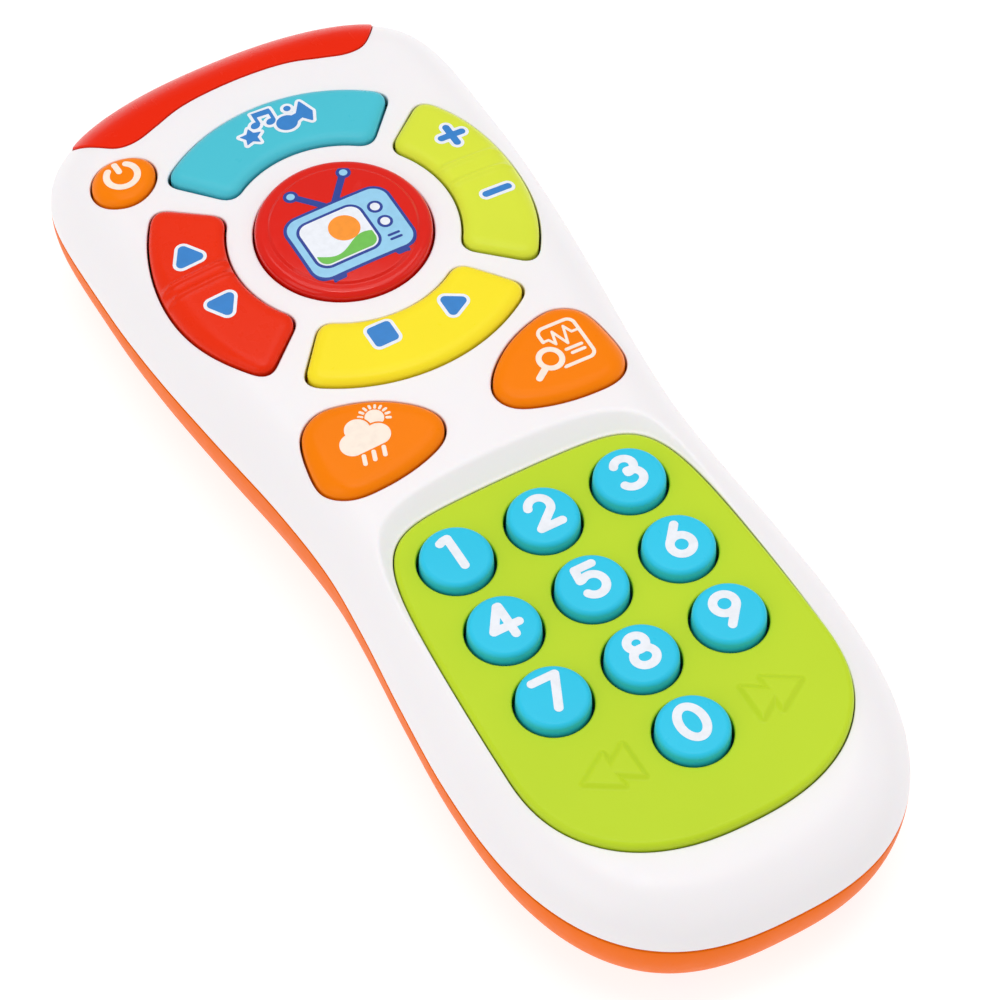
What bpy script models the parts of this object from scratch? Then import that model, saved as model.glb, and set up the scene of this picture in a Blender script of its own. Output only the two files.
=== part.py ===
"""Toy television remote control with a number pad.

The handset lies on its back: +X to the right, +Y toward the head (signal
window) end, +Z up out of the button face, origin under the middle of the body
on the surface it rests on.  Every length in the design below is in
millimetres; the objects are written in metres.

Layout: a white upper shell and an orange lower shell meet on a gently arched
parting line.  The upper shell is pierced for a ring of four arc buttons round
a disc, a power button, two rounded-triangle buttons and a recessed plate that
carries ten round number keys.  Inside are rubber mats, a circuit board, a
loudspeaker, two lamps and a battery bay that opens through the underside.
"""
import math

import bmesh
import bpy
import numpy as np
from mathutils import Vector
from mathutils.geometry import delaunay_2d_cdt

for old in list(bpy.data.objects):
    bpy.data.objects.remove(old, do_unlink=True)

MM = 0.001
GAP = 0.3                      # between pieces that meet

# ---- body ------------------------------------------------------------------
LENGTH = 170.1                 # head to tail
Y_HEAD = LENGTH / 2
Y_TAIL = -LENGTH / 2
Y_TAIL_ARC = -45.8             # tail end is a superellipse from here down
Y_HEAD_ARC = 50.7              # head end is a superellipse from here up
WIDTH_AT = [-45.8, -31.8, -18.8, -7.8, 5.2, 21.2, 37.2, 50.7]
HALF_WIDTH = [30.95, 30.15, 28.95, 28.4, 29.25, 31.2, 32.8, 33.35]
TAIL_POWER = 2.6
HEAD_POWER_Y, HEAD_POWER_X = 5.3, 2.28
Z_KEY = 25.2                   # button level of the pad above the rest surface
KEY_TOP = Z_KEY + 0.85         # tops of the number keys
PART_HIGH = 7.15               # parting line below the key tops at the waist
PART_DROP = 2.84               # ... and this much lower toward both ends
R_FACE = 8.3                   # width of the rounded shoulder of the face
R_BACK = 11.5                  # width of the rounded edge of the back
WALL = 2.0
SPINE_Y = [-85.1, -74.8, -61.8, -31.8, -19.8, -7.8, 8.2, 26.2, 40.2, 56.2, 68.2, 76.2, 85.1]
SPINE_Z = [-3.4, -2.3, -1.6, -0.6, 0.2, 0.9, 1.5, 1.8, 1.7, 1.1, 0.4, -0.4, -1.8]
CROWN_Y = [-85.1, -31.8, -1.8, 28.2, 85.1]
CROWN_Z = [0.6, 0.6, 1.1, 1.4, 1.4]    # fall of the face 30 mm off the spine

# ---- buttons ---------------------------------------------------------------
RING_Y = 39.6                  # centre of the disc and of the arc buttons
ARC_IN, ARC_OUT, ARC_HALF = 17.35, 28.3, 39.8
DISC_R = 12.95
PROUD = 1.0                    # buttons above the face
DISC_Z = Z_KEY + 3.2
HOLE_GAP = 0.45                # clearance round a button
POWER_C = (-22.8, 65.2)
KEY_PITCH_X, KEY_PITCH_Y = 13.8, 13.29
KEY5_Y = -31.55
KEY_R, KEY_HOLE_R = 5.2, 5.7
TRAVEL = 1.5
PLATE_Z = Z_KEY - 0.9          # top of the number-key plate
PLATE_T = 3.2
RIM_Z = Z_KEY - 1.35           # the shell's edge round the plate

# ---- inside ----------------------------------------------------------------
BOARD_Z, BOARD_T = Z_KEY - 10.5, 1.2
MAT_Z = BOARD_Z + BOARD_T + GAP
MAT_T, DOME_H = 1.0, 0.75
FLOOR = WALL
BAY_X, BAY_Y0, BAY_Y1 = 11.25, -65.8, -15.8
DOOR_X, DOOR_Y0, DOOR_Y1 = 13.0, -68.8, -6.8
DOOR_SCREW_Y = -10.3
CASE_SCREWS = [(-14.5, 69.4), (14.5, 69.4), (0.0, -0.3), (-12.0, -77.4), (12.0, -77.4)]
BOARD_SHELL_SCREWS = [(-23.5, 17.5), (23.5, 17.5), (0.0, 71.4)]
BOARD_PLATE_SCREWS = [(-19.0, -62.3), (19.0, -62.3)]
SPEAKER_Y, SPEAKER_R = 39.1, 13.5


# ---- maths of the shape ----------------------------------------------------
def hermite(xs, ys, x):
    """Smooth curve through the stations, level at both ends."""
    x = np.asarray(x, float)
    xs, ys = np.array(xs, float), np.array(ys, float)
    m = np.zeros(len(xs))
    m[1:-1] = (ys[2:] - ys[:-2]) / (xs[2:] - xs[:-2])
    i = np.clip(np.searchsorted(xs, x) - 1, 0, len(xs) - 2)
    h = xs[i + 1] - xs[i]
    t = np.clip((x - xs[i]) / h, 0, 1)
    return ((2 * t**3 - 3 * t**2 + 1) * ys[i] + (t**3 - 2 * t**2 + t) * h * m[i]
            + (-2 * t**3 + 3 * t**2) * ys[i + 1] + (t**3 - t**2) * h * m[i + 1])


def half_width(y):
    y = np.asarray(y, float)
    tail = np.clip((Y_TAIL_ARC - y) / (Y_TAIL_ARC - Y_TAIL), 0, 1)
    head = np.clip((y - Y_HEAD_ARC) / (Y_HEAD - Y_HEAD_ARC), 0, 1)
    w_tail = HALF_WIDTH[0] * (1 - tail**TAIL_POWER) ** (1 / TAIL_POWER)
    w_head = HALF_WIDTH[-1] * (1 - head**HEAD_POWER_Y) ** (1 / HEAD_POWER_X)
    return np.where(y < Y_TAIL_ARC, w_tail,
                    np.where(y > Y_HEAD_ARC, w_head, hermite(WIDTH_AT, HALF_WIDTH, y)))


def outline(n):
    """n points at even spacing round the body, from the tail, anticlockwise."""
    a = np.linspace(0, math.pi, 4001)
    y = Y_TAIL + LENGTH * (1 - np.cos(a)) / 2
    p = np.stack([half_width(y), y], 1)
    run = np.r_[0, np.cumsum(np.linalg.norm(np.diff(p, axis=0), axis=1))]
    s = np.linspace(0, run[-1], n // 2 + 1)
    right = np.stack([np.interp(s, run, p[:, 0]), np.interp(s, run, p[:, 1])], 1)
    return np.vstack([right, right[1:-1][::-1] * np.array([-1, 1])])


def normals2(p):
    t = np.roll(p, -1, 0) - np.roll(p, 1, 0)
    t /= np.linalg.norm(t, axis=1)[:, None]
    return np.stack([t[:, 1], -t[:, 0]], 1)


def offset2(p, d):
    """Outline moved outward by d."""
    return p + normals2(p) * d


def part_z(y):
    return Z_KEY - (PART_HIGH + PART_DROP * (1 - np.exp(-((np.asarray(y, float) + 3.8) / 45) ** 2)))


def crown(x, y):
    return Z_KEY + hermite(SPINE_Y, SPINE_Z, y) - hermite(CROWN_Y, CROWN_Z, y) * (np.asarray(x) / 30.0) ** 2


def quarter(d, r):
    t = np.clip(1 - np.asarray(d) / r, 0, 1)
    return np.sqrt(1 - t**2)


def away(points, loop):
    """Distance of each point from a closed outline."""
    a, b = loop, np.roll(loop, -1, 0)
    d = b - a
    ll = (d**2).sum(1)
    out = []
    for p in np.atleast_2d(points):
        t = np.clip(((p - a) * d).sum(1) / ll, 0, 1)
        out.append(np.sqrt(((p - a - t[:, None] * d) ** 2).sum(1).min()))
    return np.array(out)


def inside(points, loop):
    p = np.atleast_2d(points)
    x, y = p[:, 0], p[:, 1]
    hit = np.zeros(len(p), bool)
    a, b = loop, np.roll(loop, -1, 0)
    for (x0, y0), (x1, y1) in zip(a, b):
        if y0 != y1:
            hit ^= ((y0 > y) != (y1 > y)) & (x < (x1 - x0) * (y - y0) / (y1 - y0) + x0)
    return hit


BODY = outline(480)


def plate_outline(n=56, grow=0.0):
    """Number-key plate: nearly straight top, sides that widen downward, big
    round bottom."""
    top, bottom, wide = -8.7, -73.3, 24.8
    mid = -52.0
    a = np.linspace(-math.pi / 2, math.pi / 2, 2001)
    low = np.stack([wide * np.cos(a[:1001]) ** (2 / 2.35),
                    mid + (mid - bottom) * -np.abs(np.sin(a[:1001])) ** (2 / 2.35)], 1)
    c, s = np.cos(a[1000:]), np.sin(a[1000:])
    high = np.stack([wide * c ** (2 / 7.0), mid + (top - mid) * s ** (2 / 7.0)], 1)
    high[:, 0] *= 1 - 0.085 * ((high[:, 1] - mid) / (top - mid)) ** 1.6
    high[:, 1] -= 0.9 * (np.abs(high[:, 0]) / 22.0) ** 2 * ((high[:, 1] - mid) / (top - mid)) ** 6
    p = np.vstack([low, high[1:]])
    run = np.r_[0, np.cumsum(np.linalg.norm(np.diff(p, axis=0), axis=1))]
    q = np.linspace(0, run[-1], n // 2 + 1)
    right = np.stack([np.interp(q, run, p[:, 0]), np.interp(q, run, p[:, 1])], 1)
    right[0, 0] = right[-1, 0] = 0
    loop = np.vstack([right, right[1:-1][::-1] * np.array([-1, 1])])
    return offset2(loop, grow) if grow else loop


PLATE = plate_outline(160)


def base_z(x, y):
    """Upper face of the white shell, without the recess round the plate."""
    x, y = np.asarray(x, float), np.asarray(y, float)
    d = away(np.stack([x.ravel(), y.ravel()], 1), BODY).reshape(x.shape)
    zp = part_z(y)
    return zp + (crown(x, y) - zp) * quarter(d, R_FACE)


def face_z(x, y):
    """Upper face with the slope that runs down to the plate's edge."""
    z = base_z(x, y)
    p = np.stack([np.ravel(x), np.ravel(y)], 1)
    d = away(p, PLATE) * np.where(inside(p, PLATE), 0.0, 1.0)
    slope = (RIM_Z + 0.72 * np.maximum(d - 0.35, 0)).reshape(np.shape(z))
    k = 0.35
    h = np.clip(0.5 + 0.5 * (slope - z) / k, 0, 1)
    return slope + (z - slope) * h - k * h * (1 - h)


def circle(cx, cy, r, n):
    a = np.linspace(0, 2 * math.pi, n, endpoint=False)
    return np.stack([cx + r * np.cos(a), cy + r * np.sin(a)], 1)


def rounded(corners, radii, n):
    """Closed outline of straight runs and round corners, n even points,
    anticlockwise corners."""
    c = np.array(corners, float)
    m = len(c)
    pts = []
    for i in range(m):
        p, a, b = c[i], c[i - 1], c[(i + 1) % m]
        u, v = (a - p) / np.linalg.norm(a - p), (b - p) / np.linalg.norm(b - p)
        half = math.acos(max(-1, min(1, float(u @ v)))) / 2
        r = radii[i]
        run = r / math.tan(half)
        bis = (u + v) / np.linalg.norm(u + v)
        centre = p + bis * r / math.sin(half)
        s, e = p + u * run, p + v * run
        a0 = math.atan2(*(s - centre)[::-1])
        a1 = math.atan2(*(e - centre)[::-1])
        da = (a1 - a0 + math.pi) % (2 * math.pi) - math.pi
        for t in np.linspace(0, 1, 24):
            pts.append(centre + r * np.array([math.cos(a0 + da * t), math.sin(a0 + da * t)]))
    p = np.array(pts)
    q = np.vstack([p, p[:1]])
    run = np.r_[0, np.cumsum(np.linalg.norm(np.diff(q, axis=0), axis=1))]
    s = np.linspace(0, run[-1], n, endpoint=False)
    return np.stack([np.interp(s, run, q[:, 0]), np.interp(s, run, q[:, 1])], 1)


def sector(middle, r0, r1, half, corner, n):
    """Arc button about the disc centre, middle direction in degrees."""
    a = np.radians(np.linspace(middle - half, middle + half, 121))
    out = np.stack([r1 * np.cos(a), RING_Y + r1 * np.sin(a)], 1)
    inn = np.stack([r0 * np.cos(a[::-1]), RING_Y + r0 * np.sin(a[::-1])], 1)
    # pull the corners in along both edges by blending with a round
    loop = []
    for arc, r in ((out, r1), (inn, r0)):
        keep = int(round(120 * (1 - 2 * corner / (r * math.radians(2 * half))) / 2))
        loop.append(arc[60 - keep:61 + keep])
    pts = []
    for i, arc in enumerate(loop):
        nxt = loop[(i + 1) % 2]
        pts.extend(arc)
        e0, e1 = (out[-1], inn[0]) if i == 0 else (inn[-1], out[0])
        u = (e1 - e0) / np.linalg.norm(e1 - e0)
        a0, b0 = arc[-1], e0 + u * corner
        for t in np.linspace(0, 1, 14)[1:]:
            pts.append((1 - t) ** 2 * a0 + 2 * t * (1 - t) * e0 + t * t * b0)
        a1, b1 = e1 - u * corner, nxt[0]
        for t in np.linspace(0, 1, 14)[:-1]:
            pts.append((1 - t) ** 2 * a1 + 2 * t * (1 - t) * e1 + t * t * b1)
    p = np.array(pts)
    q = np.vstack([p, p[:1]])
    run = np.r_[0, np.cumsum(np.linalg.norm(np.diff(q, axis=0), axis=1))]
    s = np.linspace(0, run[-1], n, endpoint=False)
    return np.stack([np.interp(s, run, q[:, 0]), np.interp(s, run, q[:, 1])], 1)


def through(points, n):
    """Smooth closed curve through the points, n even steps round it."""
    c = np.array(points, float)
    out = []
    for i in range(len(c)):
        p0, p1, p2, p3 = c[i - 1], c[i], c[(i + 1) % len(c)], c[(i + 2) % len(c)]
        for t in np.linspace(0, 1, 24, endpoint=False):
            out.append(0.5 * (2 * p1 + (p2 - p0) * t + (2 * p0 - 5 * p1 + 4 * p2 - p3) * t * t
                              + (3 * p1 - p0 - 3 * p2 + p3) * t**3))
    p = np.array(out)
    q = np.vstack([p, p[:1]])
    run = np.r_[0, np.cumsum(np.linalg.norm(np.diff(q, axis=0), axis=1))]
    s = np.linspace(0, run[-1], n, endpoint=False)
    return np.stack([np.interp(s, run, q[:, 0]), np.interp(s, run, q[:, 1])], 1)


def side_button(side, n, grow=0.0):
    """Rounded triangle: blunt end outward, point toward the middle."""
    loop = through([(-16.5, -3.0), (-10.7, -2.2), (-6.0, -0.3), (-4.4, 2.7), (-5.9, 6.0), (-9.9, 9.4),
                    (-14.8, 11.6), (-19.2, 12.2), (-22.7, 10.0), (-24.2, 5.2), (-24.2, 0.6), (-21.4, -2.5)], n)
    if side > 0:
        loop = np.roll((loop * np.array([-1, 1]))[::-1], 1, 0)
    return offset2(loop, grow) if grow else loop


def power_outline(n, grow=0.0):
    """Egg: wider at the lower left."""
    a = np.linspace(0, 2 * math.pi, n, endpoint=False)
    x, y = 4.9 * np.cos(a), 4.4 * np.sin(a)
    y = y * (1 - 0.10 * x / 4.9)
    t = math.radians(14)
    loop = np.stack([POWER_C[0] + x * math.cos(t) - y * math.sin(t),
                     POWER_C[1] + x * math.sin(t) + y * math.cos(t)], 1)
    return offset2(loop, grow) if grow else loop


def window_outline(n):
    """Signal window in plan: lobed rear edge, front edge parallel to the end."""
    xs = [0.0, 6.0, 10.0, 14.0, 17.9, 21.0, 24.0, 26.0]
    ys = [75.1, 74.8, 74.1, 72.7, 71.6, 72.2, 75.3, 78.4]
    t = np.linspace(0, 1, 60)
    rear_x = t * 26.0
    rear_y = hermite(xs, ys, rear_x)
    end = offset2(BODY, -1.6)
    end = end[(end[:, 0] >= 0) & (end[:, 1] > 60)]
    end = end[np.argsort(end[:, 0])]
    front = end[end[:, 0] < 25.8]
    right = np.vstack([np.stack([rear_x, rear_y], 1), front[::-1]])
    run = np.r_[0, np.cumsum(np.linalg.norm(np.diff(right, axis=0), axis=1))]
    s = np.linspace(0, run[-1], n // 2 + 1)
    right = np.stack([np.interp(s, run, right[:, 0]), np.interp(s, run, right[:, 1])], 1)
    right[0, 0] = right[-1, 0] = 0
    return np.vstack([right, right[1:-1][::-1] * np.array([-1, 1])])


# ---- mesh helpers ----------------------------------------------------------
def material(name, colour, rough, metallic=0.0):
    m = bpy.data.materials.new(name)
    m.use_nodes = True
    b = m.node_tree.nodes["Principled BSDF"]
    b.inputs["Base Color"].default_value = (*[(c / 255) ** 2.2 for c in colour], 1)
    b.inputs["Roughness"].default_value = rough
    b.inputs["Metallic"].default_value = metallic
    m.diffuse_color = (*[(c / 255) ** 2.2 for c in colour], 1)
    return m


M = {
    "white": material("white_shell", (245, 242, 243), 0.35),
    "orange": material("orange_shell", (252, 122, 40), 0.4),
    "window": material("window_red", (225, 40, 20), 0.2),
    "lime": material("lime_plate", (190, 223, 43), 0.4),
    "lime2": material("lime_rocker", (205, 226, 60), 0.4),
    "blue": material("key_blue", (47, 190, 228), 0.4),
    "red": material("red_rocker", (240, 55, 25), 0.35),
    "disc": material("disc_red", (230, 36, 14), 0.3),
    "teal": material("teal_button", (84, 199, 217), 0.4),
    "yellow": material("yellow_rocker", (253, 232, 50), 0.4),
    "button": material("orange_button", (255, 130, 10), 0.35),
    "rubber": material("mat_rubber", (205, 205, 200), 0.8),
    "board": material("board_green", (30, 110, 60), 0.5),
    "chip": material("chip_black", (25, 25, 28), 0.5),
    "lamp": material("lamp_clear", (230, 225, 220), 0.1),
    "steel": material("steel", (190, 190, 195), 0.3, 1.0),
    "cone": material("cone_black", (40, 40, 42), 0.8),
    "cell": material("cell_green", (40, 140, 70), 0.35),
    "wire_red": material("wire_red", (200, 30, 30), 0.5),
    "wire_black": material("wire_black", (25, 25, 25), 0.5),
}


def build(name, verts, faces, mat, origin=(0, 0, 0), smooth=35, hide=False):
    """Object from millimetre points, its origin at the given point."""
    v = (np.asarray(verts, float) - np.array(origin, float)) * MM
    me = bpy.data.meshes.new(name)
    bm = bmesh.new()
    bv = [bm.verts.new(p) for p in v]
    for f in faces:
        bm.faces.new([bv[i] for i in f])
    bmesh.ops.recalc_face_normals(bm, faces=bm.faces[:])
    bm.to_mesh(me)
    bm.free()
    me.shade_smooth()
    me.set_sharp_from_angle(angle=math.radians(smooth))
    if mat:
        me.materials.append(M[mat])
    ob = bpy.data.objects.new(name, me)
    ob.location = Vector(origin) * MM
    bpy.context.scene.collection.objects.link(ob)
    if hide:
        ob.hide_render = True
        ob.display_type = "WIRE"
    return ob


def boolean(ob, tool, how):
    m = ob.modifiers.new(tool.name, "BOOLEAN")
    m.operation = how
    m.object = tool
    m.solver = "EXACT"


def triangulate(outer, holes, pts):
    """Triangles between an outline and its holes, through the extra points."""
    loops = [outer] + list(holes)
    v, e, start = [], [], 0
    for loop in loops:
        n = len(loop)
        v += [Vector(p) for p in loop]
        e += [(start + i, start + (i + 1) % n) for i in range(n)]
        start += n
    v += [Vector(p) for p in pts]
    vo, _, fo, ov, _, _ = delaunay_2d_cdt(v, e, [], 0, 1e-7)
    back = [o[0] for o in ov]
    tri = np.array([[back[i] for i in f] for f in fo])
    xy = np.array([[p[0], p[1]] for p in v])
    mid = xy[tri].mean(1)
    keep = inside(mid, outer)
    for h in holes:
        keep &= ~inside(mid, h)
    return xy, tri[keep]


def clear_points(pts, outer, holes, gap):
    p = np.atleast_2d(pts)
    ok = inside(p, outer) & (away(p, outer) > gap)
    for h in holes:
        ok &= ~inside(p, h) & (away(p, h) > gap)
    return p[ok]


def ring_faces(a, b, n):
    return [(a + i, a + (i + 1) % n, b + (i + 1) % n, b + i) for i in range(n)]


def cap_piece(name, mat, loop, top, r, levels, origin, pts=(), seg=2):
    """A button: domed top, rounded edge, and the rings of the skirt below it.
    levels is a list of (outline, z)."""
    n = len(loop)
    inner = offset2(loop, -r)
    xy, tri = triangulate(inner, [], pts)
    z = top(xy[:, 0], xy[:, 1])
    verts = [np.column_stack([xy, z])]
    faces = [tuple(t) for t in tri]
    prev, count = 0, len(xy)
    edge = top(loop[:, 0], loop[:, 1])
    for k in range(1, seg + 1):
        a = math.pi / 2 * k / seg
        p = offset2(loop, -r + r * math.sin(a))
        zz = z[:n] * (1 - k / seg) + edge * (k / seg) - r * (1 - math.cos(a))
        verts.append(np.column_stack([p, zz]))
        faces += ring_faces(prev, count, n)
        prev, count = count, count + n
    for p, zl in levels:
        verts.append(np.column_stack([p, np.full(n, zl)]))
        faces += ring_faces(prev, count, n)
        prev, count = count, count + n
    faces.append(tuple(range(prev, prev + n))[::-1])
    return build(name, np.vstack(verts), faces, mat, origin)


def slab(name, mat, outer, holes, z0, z1, origin=(0, 0, 0), bumps=()):
    """Flat sheet with holes; bumps are (x, y, radius, height) studs on top."""
    pts = []
    for bx, by, br, _ in bumps:
        pts += [tuple(p) for p in circle(bx, by, br, 8)] + [tuple(p) for p in circle(bx, by, br * 0.72, 8)]
    xy, tri = triangulate(outer, holes, pts)
    z = np.full(len(xy), z1)
    for bx, by, br, bh in bumps:
        d = np.hypot(xy[:, 0] - bx, xy[:, 1] - by)
        z[d < br * 0.85] += bh
    n = len(xy)
    faces = [tuple(t) for t in tri]
    if holes:
        verts = np.vstack([np.column_stack([xy, z]), np.column_stack([xy, np.full(n, z0)])])
        faces += [tuple(i + n for i in t[::-1]) for t in tri]
    else:
        verts = np.vstack([np.column_stack([xy, z]), np.column_stack([outer, np.full(len(outer), z0)])])
        faces.append(tuple(range(n, n + len(outer)))[::-1])
    start = 0
    for loop in [outer] + list(holes):
        k = len(loop)
        faces += [(start + i, start + (i + 1) % k, n + start + (i + 1) % k, n + start + i) for i in range(k)]
        start += k
    return build(name, verts, faces, mat, origin)


def turned(name, mat, profile, n, origin=(0, 0, 0), axis="Z", hide=False):
    """Turned solid: profile of (radius, height) from one pole to the other,
    or right round a ring that has no pole."""
    verts, faces, rows = [], [], []
    for r, h in profile:
        if r == 0:
            rows.append([len(verts)])
            verts.append((0, 0, h))
        else:
            rows.append(list(range(len(verts), len(verts) + n)))
            verts += [(r * math.cos(2 * math.pi * i / n), r * math.sin(2 * math.pi * i / n), h) for i in range(n)]
    if profile[0][0] > 0:
        rows.append(rows[0])       # a ring-shaped solid closes on itself
    for a, b in zip(rows, rows[1:]):
        for i in range(n):
            j = (i + 1) % n
            if len(a) == 1:
                faces.append((a[0], b[i], b[j]))
            elif len(b) == 1:
                faces.append((a[i], b[0], a[j]))
            else:
                faces.append((a[i], b[i], b[j], a[j]))
    v = np.array(verts, float)
    if axis == "Y":
        v = np.stack([v[:, 0], v[:, 2], -v[:, 1]], 1)
    elif axis == "-Y":
        v = np.stack([v[:, 0], -v[:, 2], v[:, 1]], 1)
    return build(name, v + np.array(origin, float), faces, mat, origin, hide=hide)


def box_mesh(boxes):
    verts, faces = [], []
    for x0, x1, y0, y1, z0, z1 in boxes:
        s = len(verts)
        verts += [(x, y, z) for z in (z0, z1) for x, y in ((x0, y0), (x1, y0), (x1, y1), (x0, y1))]
        faces += [tuple(s + i for i in f) for f in
                  ((3, 2, 1, 0), (4, 5, 6, 7), (0, 1, 5, 4), (1, 2, 6, 5), (2, 3, 7, 6), (3, 0, 4, 7))]
    return verts, faces


def tool_boxes(name, boxes):
    return build(name, *box_mesh(boxes), None, hide=True)


def tool_posts(name, posts, n=10):
    """Cutters or bosses: (x, y, [(radius, z), ...]) stacks, bottom to top."""
    verts, faces = [], []
    for x, y, steps in posts:
        first = len(verts)
        for r, z in steps:
            verts += [(x + r * math.cos(2 * math.pi * i / n), y + r * math.sin(2 * math.pi * i / n), z)
                      for i in range(n)]
        for k in range(len(steps) - 1):
            faces += ring_faces(first + k * n, first + (k + 1) * n, n)
        faces.append(tuple(range(first, first + n))[::-1])
        last = first + (len(steps) - 1) * n
        faces.append(tuple(range(last, last + n)))
    return build(name, verts, faces, None, hide=True)


def tube(name, mat, pts, r, res=1):
    cu = bpy.data.curves.new(name, "CURVE")
    cu.dimensions = "3D"
    cu.bevel_depth = r * MM
    cu.bevel_resolution = res
    cu.use_fill_caps = True
    sp = cu.splines.new("POLY")
    sp.points.add(len(pts) - 1)
    for p, q in zip(sp.points, pts):
        p.co = (q[0] * MM, q[1] * MM, q[2] * MM, 1)
    cu.materials.append(M[mat])
    ob = bpy.data.objects.new(name, cu)
    bpy.context.scene.collection.objects.link(ob)
    return ob


# ---- upper shell -----------------------------------------------------------
N_BODY = 72
ring = outline(N_BODY)
ring_n = normals2(ring)
ARCS = {"volume_rocker": 0, "music_button": 90, "channel_rocker": 180, "stop_play_rocker": 270}
arc_n = 26
N_PLATE = 40
holes = [sector(m, ARC_IN - HOLE_GAP, ARC_OUT + HOLE_GAP, ARC_HALF + 1.2, 2.6, arc_n) for m in ARCS.values()]
holes.append(circle(0, RING_Y, DISC_R + HOLE_GAP, 24))
holes.append(side_button(-1, 20, HOLE_GAP))
holes.append(side_button(1, 20, HOLE_GAP))
holes.append(power_outline(14, HOLE_GAP))
holes.append(plate_outline(N_PLATE, 0.35))
n_plain = len(holes)
window = window_outline(30)
holes.append(offset2(window, 0.3))
outer = ring - ring_n * 0.6
extra = [ring - ring_n * d for d in (1.6, 3.6, R_FACE)]
gx, gy = np.meshgrid(np.arange(-20, 21, 10.0), np.arange(-76, 76, 9.0))
extra.append(np.stack([gx.ravel(), gy.ravel()], 1))
extra = clear_points(np.vstack(extra), outer, holes, 1.0)
xy, tri = triangulate(outer, holes, extra)


def surface_normal(x, y, f=face_z, e=0.05):
    gx_ = (f(x + e, y) - f(x - e, y)) / (2 * e)
    gy_ = (f(x, y + e) - f(x, y - e)) / (2 * e)
    n = np.stack([-gx_, -gy_, np.ones_like(gx_)], 1)
    return n / np.linalg.norm(n, axis=1)[:, None]


top = np.column_stack([xy, face_z(xy[:, 0], xy[:, 1])])
nrm = surface_normal(xy[:, 0], xy[:, 1])
under = top - nrm * WALL
first = N_BODY
for k, loop in enumerate(holes):
    if k < n_plain:
        s = slice(first, first + len(loop))
        under[s] = top[s] - np.array([0, 0, 1.0]) * (WALL / np.maximum(nrm[s, 2:3], 0.75))
    first += len(loop)
low_edge = np.column_stack([ring, part_z(ring[:, 1]) + 0.15])
mid_p = ring - ring_n * 0.3
mid_edge = np.column_stack([mid_p, base_z(mid_p[:, 0], mid_p[:, 1])])
low_in = np.column_stack([ring - ring_n * WALL, part_z(ring[:, 1]) + 0.15])
mid_in_p = ring - ring_n * (WALL + 0.3)
mid_in = np.column_stack([mid_in_p, mid_edge[:, 2] - 0.35])
nt = len(top)
verts = np.vstack([top, under, mid_edge, low_edge, low_in, mid_in])
a_mid, a_low, a_lin, a_min = 2 * nt, 2 * nt + N_BODY, 2 * nt + 2 * N_BODY, 2 * nt + 3 * N_BODY
faces = [tuple(t) for t in tri] + [tuple(i + nt for i in t[::-1]) for t in tri]
for a, b in ((0, a_mid), (a_mid, a_low), (a_low, a_lin), (a_lin, a_min), (a_min, nt)):
    faces += ring_faces(a, b, N_BODY)
start = N_BODY
for loop in holes:
    k = len(loop)
    faces += [(start + i, start + (i + 1) % k, nt + start + (i + 1) % k, nt + start + i) for i in range(k)]
    start += k
top_shell = build("top_shell", verts, faces, "white")
posts = []
for x, y in CASE_SCREWS:
    zt = float(base_z(np.array([x]), np.array([y]))[0]) - 1.0
    posts.append((x, y, [(2.4, Z_KEY - 11.2), (2.4, zt)]))
for x, y in BOARD_SHELL_SCREWS:
    zt = float(base_z(np.array([x]), np.array([y]))[0]) - 1.0
    posts.append((x, y, [(2.2, BOARD_Z + BOARD_T + GAP), (2.2, zt)]))
boolean(top_shell, tool_posts("tool_top_bosses", posts), "UNION")
pilots = [(x, y, [(1.25, Z_KEY - 13), (1.25, Z_KEY - 4.0)]) for x, y in CASE_SCREWS]
pilots += [(x, y, [(1.2, Z_KEY - 12), (1.2, Z_KEY - 4.5)]) for x, y in BOARD_SHELL_SCREWS]
boolean(top_shell, tool_posts("tool_top_pilots", pilots, 8), "DIFFERENCE")

# ---- signal window ---------------------------------------------------------
wpts = [p for d in (2.4, 4.2, 6.6, R_FACE) for p in (ring - ring_n * d)]
wpts = clear_points(np.array(wpts), window, [], 0.8)
wxy, wtri = triangulate(window, [], wpts)
wn = surface_normal(wxy[:, 0], wxy[:, 1], base_z)
wtop = np.column_stack([wxy, base_z(wxy[:, 0], wxy[:, 1])])
nw = len(wxy)
wv = np.vstack([wtop + wn * 0.25, wtop - wn * (WALL - 0.2)])
wf = [tuple(t) for t in wtri] + [tuple(i + nw for i in t[::-1]) for t in wtri]
k = len(window)
wf += [(i, (i + 1) % k, nw + (i + 1) % k, nw + i) for i in range(k)]
build("ir_window", wv, wf, "window")

# ---- lower shell -----------------------------------------------------------
STEPS = 4
rows_out, rows_in = [], []
for kk in range(STEPS + 1):
    a = math.pi / 2 * kk / STEPS
    zp = part_z(ring[:, 1]) - 0.15
    rows_out.append(np.column_stack([ring - ring_n * (R_BACK * (1 - math.cos(a))), zp - zp * math.sin(a)]))
    rows_in.append(np.column_stack([ring - ring_n * (WALL + (R_BACK - WALL) * (1 - math.cos(a))),
                                    zp - (zp - FLOOR) * math.sin(a)]))
rows = rows_out + rows_in
verts = np.vstack(rows)
faces = []
for kk in range(STEPS):
    faces += ring_faces(kk * N_BODY, (kk + 1) * N_BODY, N_BODY)
    faces += ring_faces((STEPS + 1 + kk) * N_BODY, (STEPS + 2 + kk) * N_BODY, N_BODY)
faces += ring_faces(0, (STEPS + 1) * N_BODY, N_BODY)
faces.append(tuple(range(STEPS * N_BODY, (STEPS + 1) * N_BODY)))
faces.append(tuple(range((2 * STEPS + 1) * N_BODY, (2 * STEPS + 2) * N_BODY)))
bottom_shell = build("bottom_shell", verts, faces, "orange")
LEDGE = FLOOR + 0.1
BAY_TOP = BOARD_Z - GAP
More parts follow.
